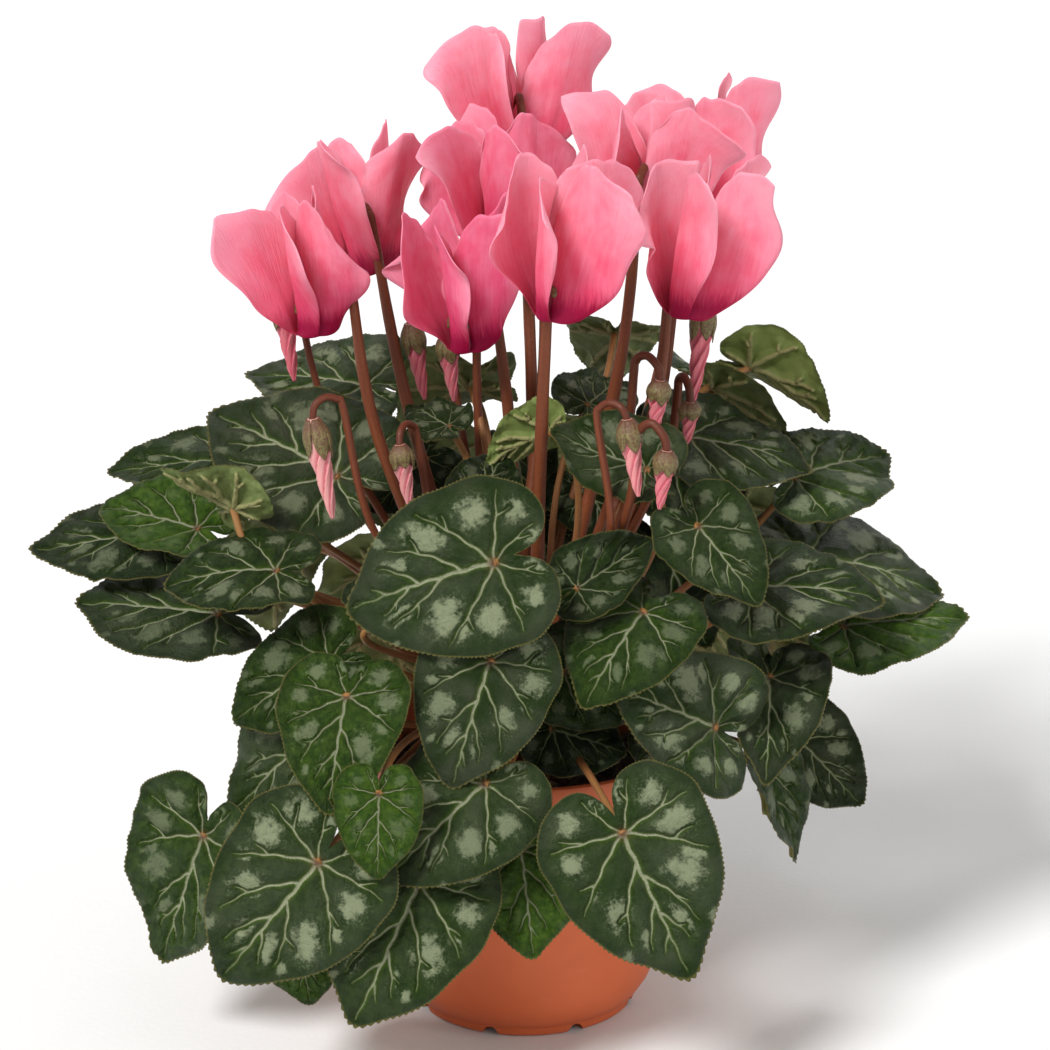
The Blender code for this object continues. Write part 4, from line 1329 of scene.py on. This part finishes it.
CRUMBS, BARE_SHARE = 420, 0.17      # how many, and the share of the soil the corm covers


def build_crumbs():
    """Loose crumbs and grit on the soil, as one object."""
    rng = np.random.default_rng(11)
    shape = bpy.data.meshes.new("crumb")
    work = bmesh.new()
    bmesh.ops.create_icosphere(work, subdivisions=2, radius=1.0)
    work.to_mesh(shape)
    work.free()
    ball = np.array([v.co for v in shape.vertices])
    faces = np.array([tuple(p.vertices) for p in shape.polygons])
    pieces = []
    for _ in range(CRUMBS):
        reach = (SOIL_REACH - 1) * math.sqrt(rng.uniform(BARE_SHARE, 1.0)) - 1.5
        turn = rng.uniform(0, TURN)
        size = rng.uniform(0.5, 1.9)
        stretch = rng.uniform(0.55, 1.2, 3)
        lump = ball * (1 + 0.22 * ripples(ball, int(rng.integers(9999)), 2.6)[:, None])
        height = mound(reach) + 0.4 + 0.2 * size
        centre = np.array([reach * math.cos(turn), reach * math.sin(turn), height])
        points = (centre + lump * stretch * size) * MM
        pieces.append((points, faces, np.zeros((len(ball), 4)), points[:, :2], 0))
    return assembled("soil_crumbs", pieces, [SOIL], (0, 0, 0, 0))


def build_corm():
    """The flattened tuber with a lumpy, corky skin."""
    low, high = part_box("corm")
    radius, half = (high[0] - low[0]) / 2 / MM, (high[2] - low[2]) / 2 / MM
    middle = (high[2] + low[2]) / 2 / MM
    profile = [(radius * math.cos(math.radians(a)), middle + half * math.sin(math.radians(a)))
               for a in np.linspace(-86, 88, 46)]
    profile = [(0.0, middle - half)] + profile + [(0.0, middle + half)]

    def bumps(places):
        lumps = 0.5 * ripples(places, 8, 260.0) + 0.3 * ripples(places, 9, 800.0)
        return unit(places - [0, 0, middle * MM]) * (lumps - 0.4)[:, None] * MM
    return displaced(turned_body("corm_fine", profile, CORK, 96), bumps)


# ----- assembly

def placed(piece, slot, *nodes):
    """Makes a piece ride on the pot and stand for CAD nodes; slot is not used."""
    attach(piece, "root")
    if nodes:
        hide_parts(*nodes)


YOUNG = ("leaf_07", "leaf_15", "leaf_19", "leaf_22")
# Tone of each CAD leaf that differs from the plain one: greyness, freshness, silver.
LEAF_TONES = {
    "leaf_01": (0.75, 0.05, 1.0), "leaf_02": (1.0, 0.0, 0.85), "leaf_03": (0.0, 0.25, 0.4),
    "leaf_04": (1.0, 0.05, 0.9), "leaf_05": (0.8, 0.0, 0.7), "leaf_06": (0.2, 0.3, 0.6),
    "leaf_07": (0.5, 0.8, 0.6), "leaf_09": (0.9, 0.0, 0.8), "leaf_14": (0.1, 0.3, 0.5),
    "leaf_15": (0.2, 0.5, 0.6), "leaf_16": (0.9, 0.15, 0.5), "leaf_17": (0.7, 0.1, 1.0),
    "leaf_18": (0.3, 0.3, 0.5), "leaf_19": (0.5, 0.85, 0.3), "leaf_20": (0.5, 0.15, 1.0),
    "leaf_21": (0.9, 0.1, 0.8), "leaf_22": (0.5, 0.9, 0.1), "leaf_23": (0.8, 0.1, 1.0),
    "leaf_24": (0.8, 0.0, 0.5),
}
# Tone of each flower: how magenta, how pale its blades are, how deep its nose is.
FLOWER_TONES = {
    1: (0.25, 0.7, 0.9), 2: (0.1, 0.8, 0.7), 3: (0.1, 0.95, 0.5), 4: (0.6, 0.55, 0.7),
    5: (0.8, 0.3, 1.0), 6: (0.15, 0.8, 0.9), 7: (0.1, 0.9, 0.6), 8: (0.1, 0.9, 0.6),
    9: (0.1, 0.95, 0.9),
}
# Form of each flower: twist of its petals, how far they lean out, and their height.
FLOWER_FORMS = {1: (26, -1.0, 0.98), 2: (20, 7.5, 1.0), 3: (24, 4.0, 1.04), 4: (24, 2.0, 1.0),
                5: (26, 0.5, 1.0), 6: (28, 1.5, 1.06), 7: (26, 2.5, 1.0), 8: (24, 3.0, 1.0),
                9: (28, 2.0, 1.02)}
BUD_PALE = {1: 0.1, 2: 0.9, 3: 0.8, 4: 0.2, 5: 0.15, 6: 0.6}
# Buds without a CAD node: calyx, length, azimuth of the hook, arch height, root azimuth.
EXTRA_BUDS = {
    "a": ((-27, 18, 236), 24, 20, 8, 152),
    "b": ((44, -41, 236), 20, 140, 7, 312),
    "c": ((55, -17, 222), 15, 110, 7, 332),
    "d": ((45, -75, 222), 20, 150, 8, 318),
}


def build_plant():
    """Every leaf, stem, flower and bud."""
    names = sorted(frame["nodes"])
    for i, node in enumerate(n for n in names if n.startswith("leaf_")):
        knots, centres, radii = leaf_skeleton(node)
        rng = np.random.default_rng(i + 500)
        plain = (rng.uniform(0.0, 1.0), rng.uniform(0, 0.3), rng.uniform(0.4, 1.0))
        leaf = build_leaf(node + "_fine", knots, centres, radii,
                          LEAF_TONES.get(node, plain), i)
        placed(leaf, "young_leaf" if node in YOUNG else "leaf", node)
    for i, (key, spec) in enumerate(EXTRA_LEAVES.items()):
        knots, end, arrive = blade_knots(*spec[:8])
        azimuth = math.degrees(math.atan2(knots[0][1], knots[0][0])) + 10 * (2 * i % 5 - 2)
        centres = stalk_path(end, arrive, azimuth, 9.0)
        leaf = build_leaf("extra_leaf_" + key, knots, centres, np.array([1.25 * MM]), spec[8],
                          100 + i)
        placed(leaf, "young_leaf" if spec[8] is FRESH else "leaf")
    for number in range(1, 10):
        stem_node = "flower_stem_%02d" % number
        centres, radii = stalk_skeleton(stem_node)
        z = flower_frame(centres)[3]
        path = np.vstack([centres[:CALYX_FOOT + 1], centres[CALYX_RIM] + z * 0.4 * MM])
        thick = np.append(radii[:CALYX_FOOT], [1.9 * MM, 3.3 * MM])
        stem = build_stem(stem_node + "_fine", path, thick, (0, 0, 0, number / 9))
        placed(stem, "stem", stem_node)
        flower = build_flower(number, centres, (*FLOWER_TONES[number], number / 9),
                              *FLOWER_FORMS[number])
        placed(flower, "petal", "flower_%02d" % number)
    for number in range(1, 7):
        node = "bud_%02d" % number
        centres, radii = stalk_skeleton(node)
        bud = build_bud(node + "_fine", centres[:BUD_FOOT + 1], radii[:BUD_FOOT + 1],
                        centres[BUD_FOOT], centres[BUD_TIP],
                        (0, BUD_PALE[number], 0, number / 7), number)
        placed(bud, "bud", node)
    for i, (key, (at, length, hook, arch, root)) in enumerate(EXTRA_BUDS.items()):
        foot = np.array(at, dtype=float) * MM
        side = direction(hook, 0)
        top = foot + side * 5.5 * MM + UP * arch * MM
        shoulder = foot + side * 11 * MM
        path = stalk_path(shoulder, UP, root, 8.5)[::-1]
        path = np.vstack([path, shoulder + (UP * 5 + side * -1) * MM, top,
                          foot + (UP * 4 + side * 1) * MM, foot])
        radii = np.array([1.9, 1.8, 1.7, 1.6, 1.5, 1.5, 1.4, 1.4, 1.4]) * MM
        tip = foot - (UP - side * 0.12) * length * MM
        bud = build_bud("extra_bud_" + key, path, radii, foot, tip, (0, 0.3, 0, i / 5), 30 + i)
        placed(bud, "bud")


def build_vessel():
    """Pot, soil and corm."""
    placed(build_pot(), "pot", "pot")
    placed(build_soil(), "soil", "potting_soil")
    placed(build_crumbs(), "soil")
    placed(build_corm(), "corm", "corm")


# Sun lamps: where each shines from, its strength and the width of its disc.
LAMPS = {"key": ((-0.75, -1.1, 1.25), 3.3, 0.28), "side": ((1.2, -0.9, 0.5), 0.7, 0.8),
         "rear": ((0.4, 1.2, 0.9), 0.5, 0.8)}
SKY_STRENGTH = 0.48
FLOOR_REACH = 40.0
LENS_MM, SENSOR_MM = 120.96, 36.0
CAMERA_AT = (0.0, -1.15, 0.536)
CAMERA_DOWN = 17.5      # degrees below level


def build_stage():
    """Pale floor, soft lights and the camera."""
    scene = bpy.context.scene
    r = FLOOR_REACH
    mesh = bpy.data.meshes.new("floor")
    mesh.from_pydata([(-r, -r, 0), (r, -r, 0), (r, r, 0), (-r, r, 0)], [], [(0, 1, 2, 3)])
    mesh.materials.append(PAPER)
    floor = bpy.data.objects.new("floor", mesh)
    floor.location.z = -0.2 * MM
    scene.collection.objects.link(floor)
    for name, (way, power, width) in LAMPS.items():
        lamp = bpy.data.lights.new(name, "SUN")
        lamp.energy = power
        lamp.angle = width
        thing = bpy.data.objects.new(name, lamp)
        thing.location = way
        thing.rotation_euler = Vector(way).to_track_quat("Z", "Y").to_euler()
        scene.collection.objects.link(thing)
    world = bpy.data.worlds.new("studio")
    world.use_nodes = True
    sky = world.node_tree.nodes["Background"].inputs
    sky["Color"].default_value = (1, 1, 1, 1)
    sky["Strength"].default_value = SKY_STRENGTH
    scene.world = world
    scene.view_settings.view_transform = "Standard"
    lens = bpy.data.cameras.new("camera")
    lens.lens = LENS_MM
    lens.sensor_width = SENSOR_MM
    camera = bpy.data.objects.new("camera", lens)
    camera.location = CAMERA_AT
    camera.rotation_euler = (math.radians(90 - CAMERA_DOWN), 0.0, 0.0)
    scene.collection.objects.link(camera)
    scene.camera = camera


build_vessel()
build_plant()
build_stage()
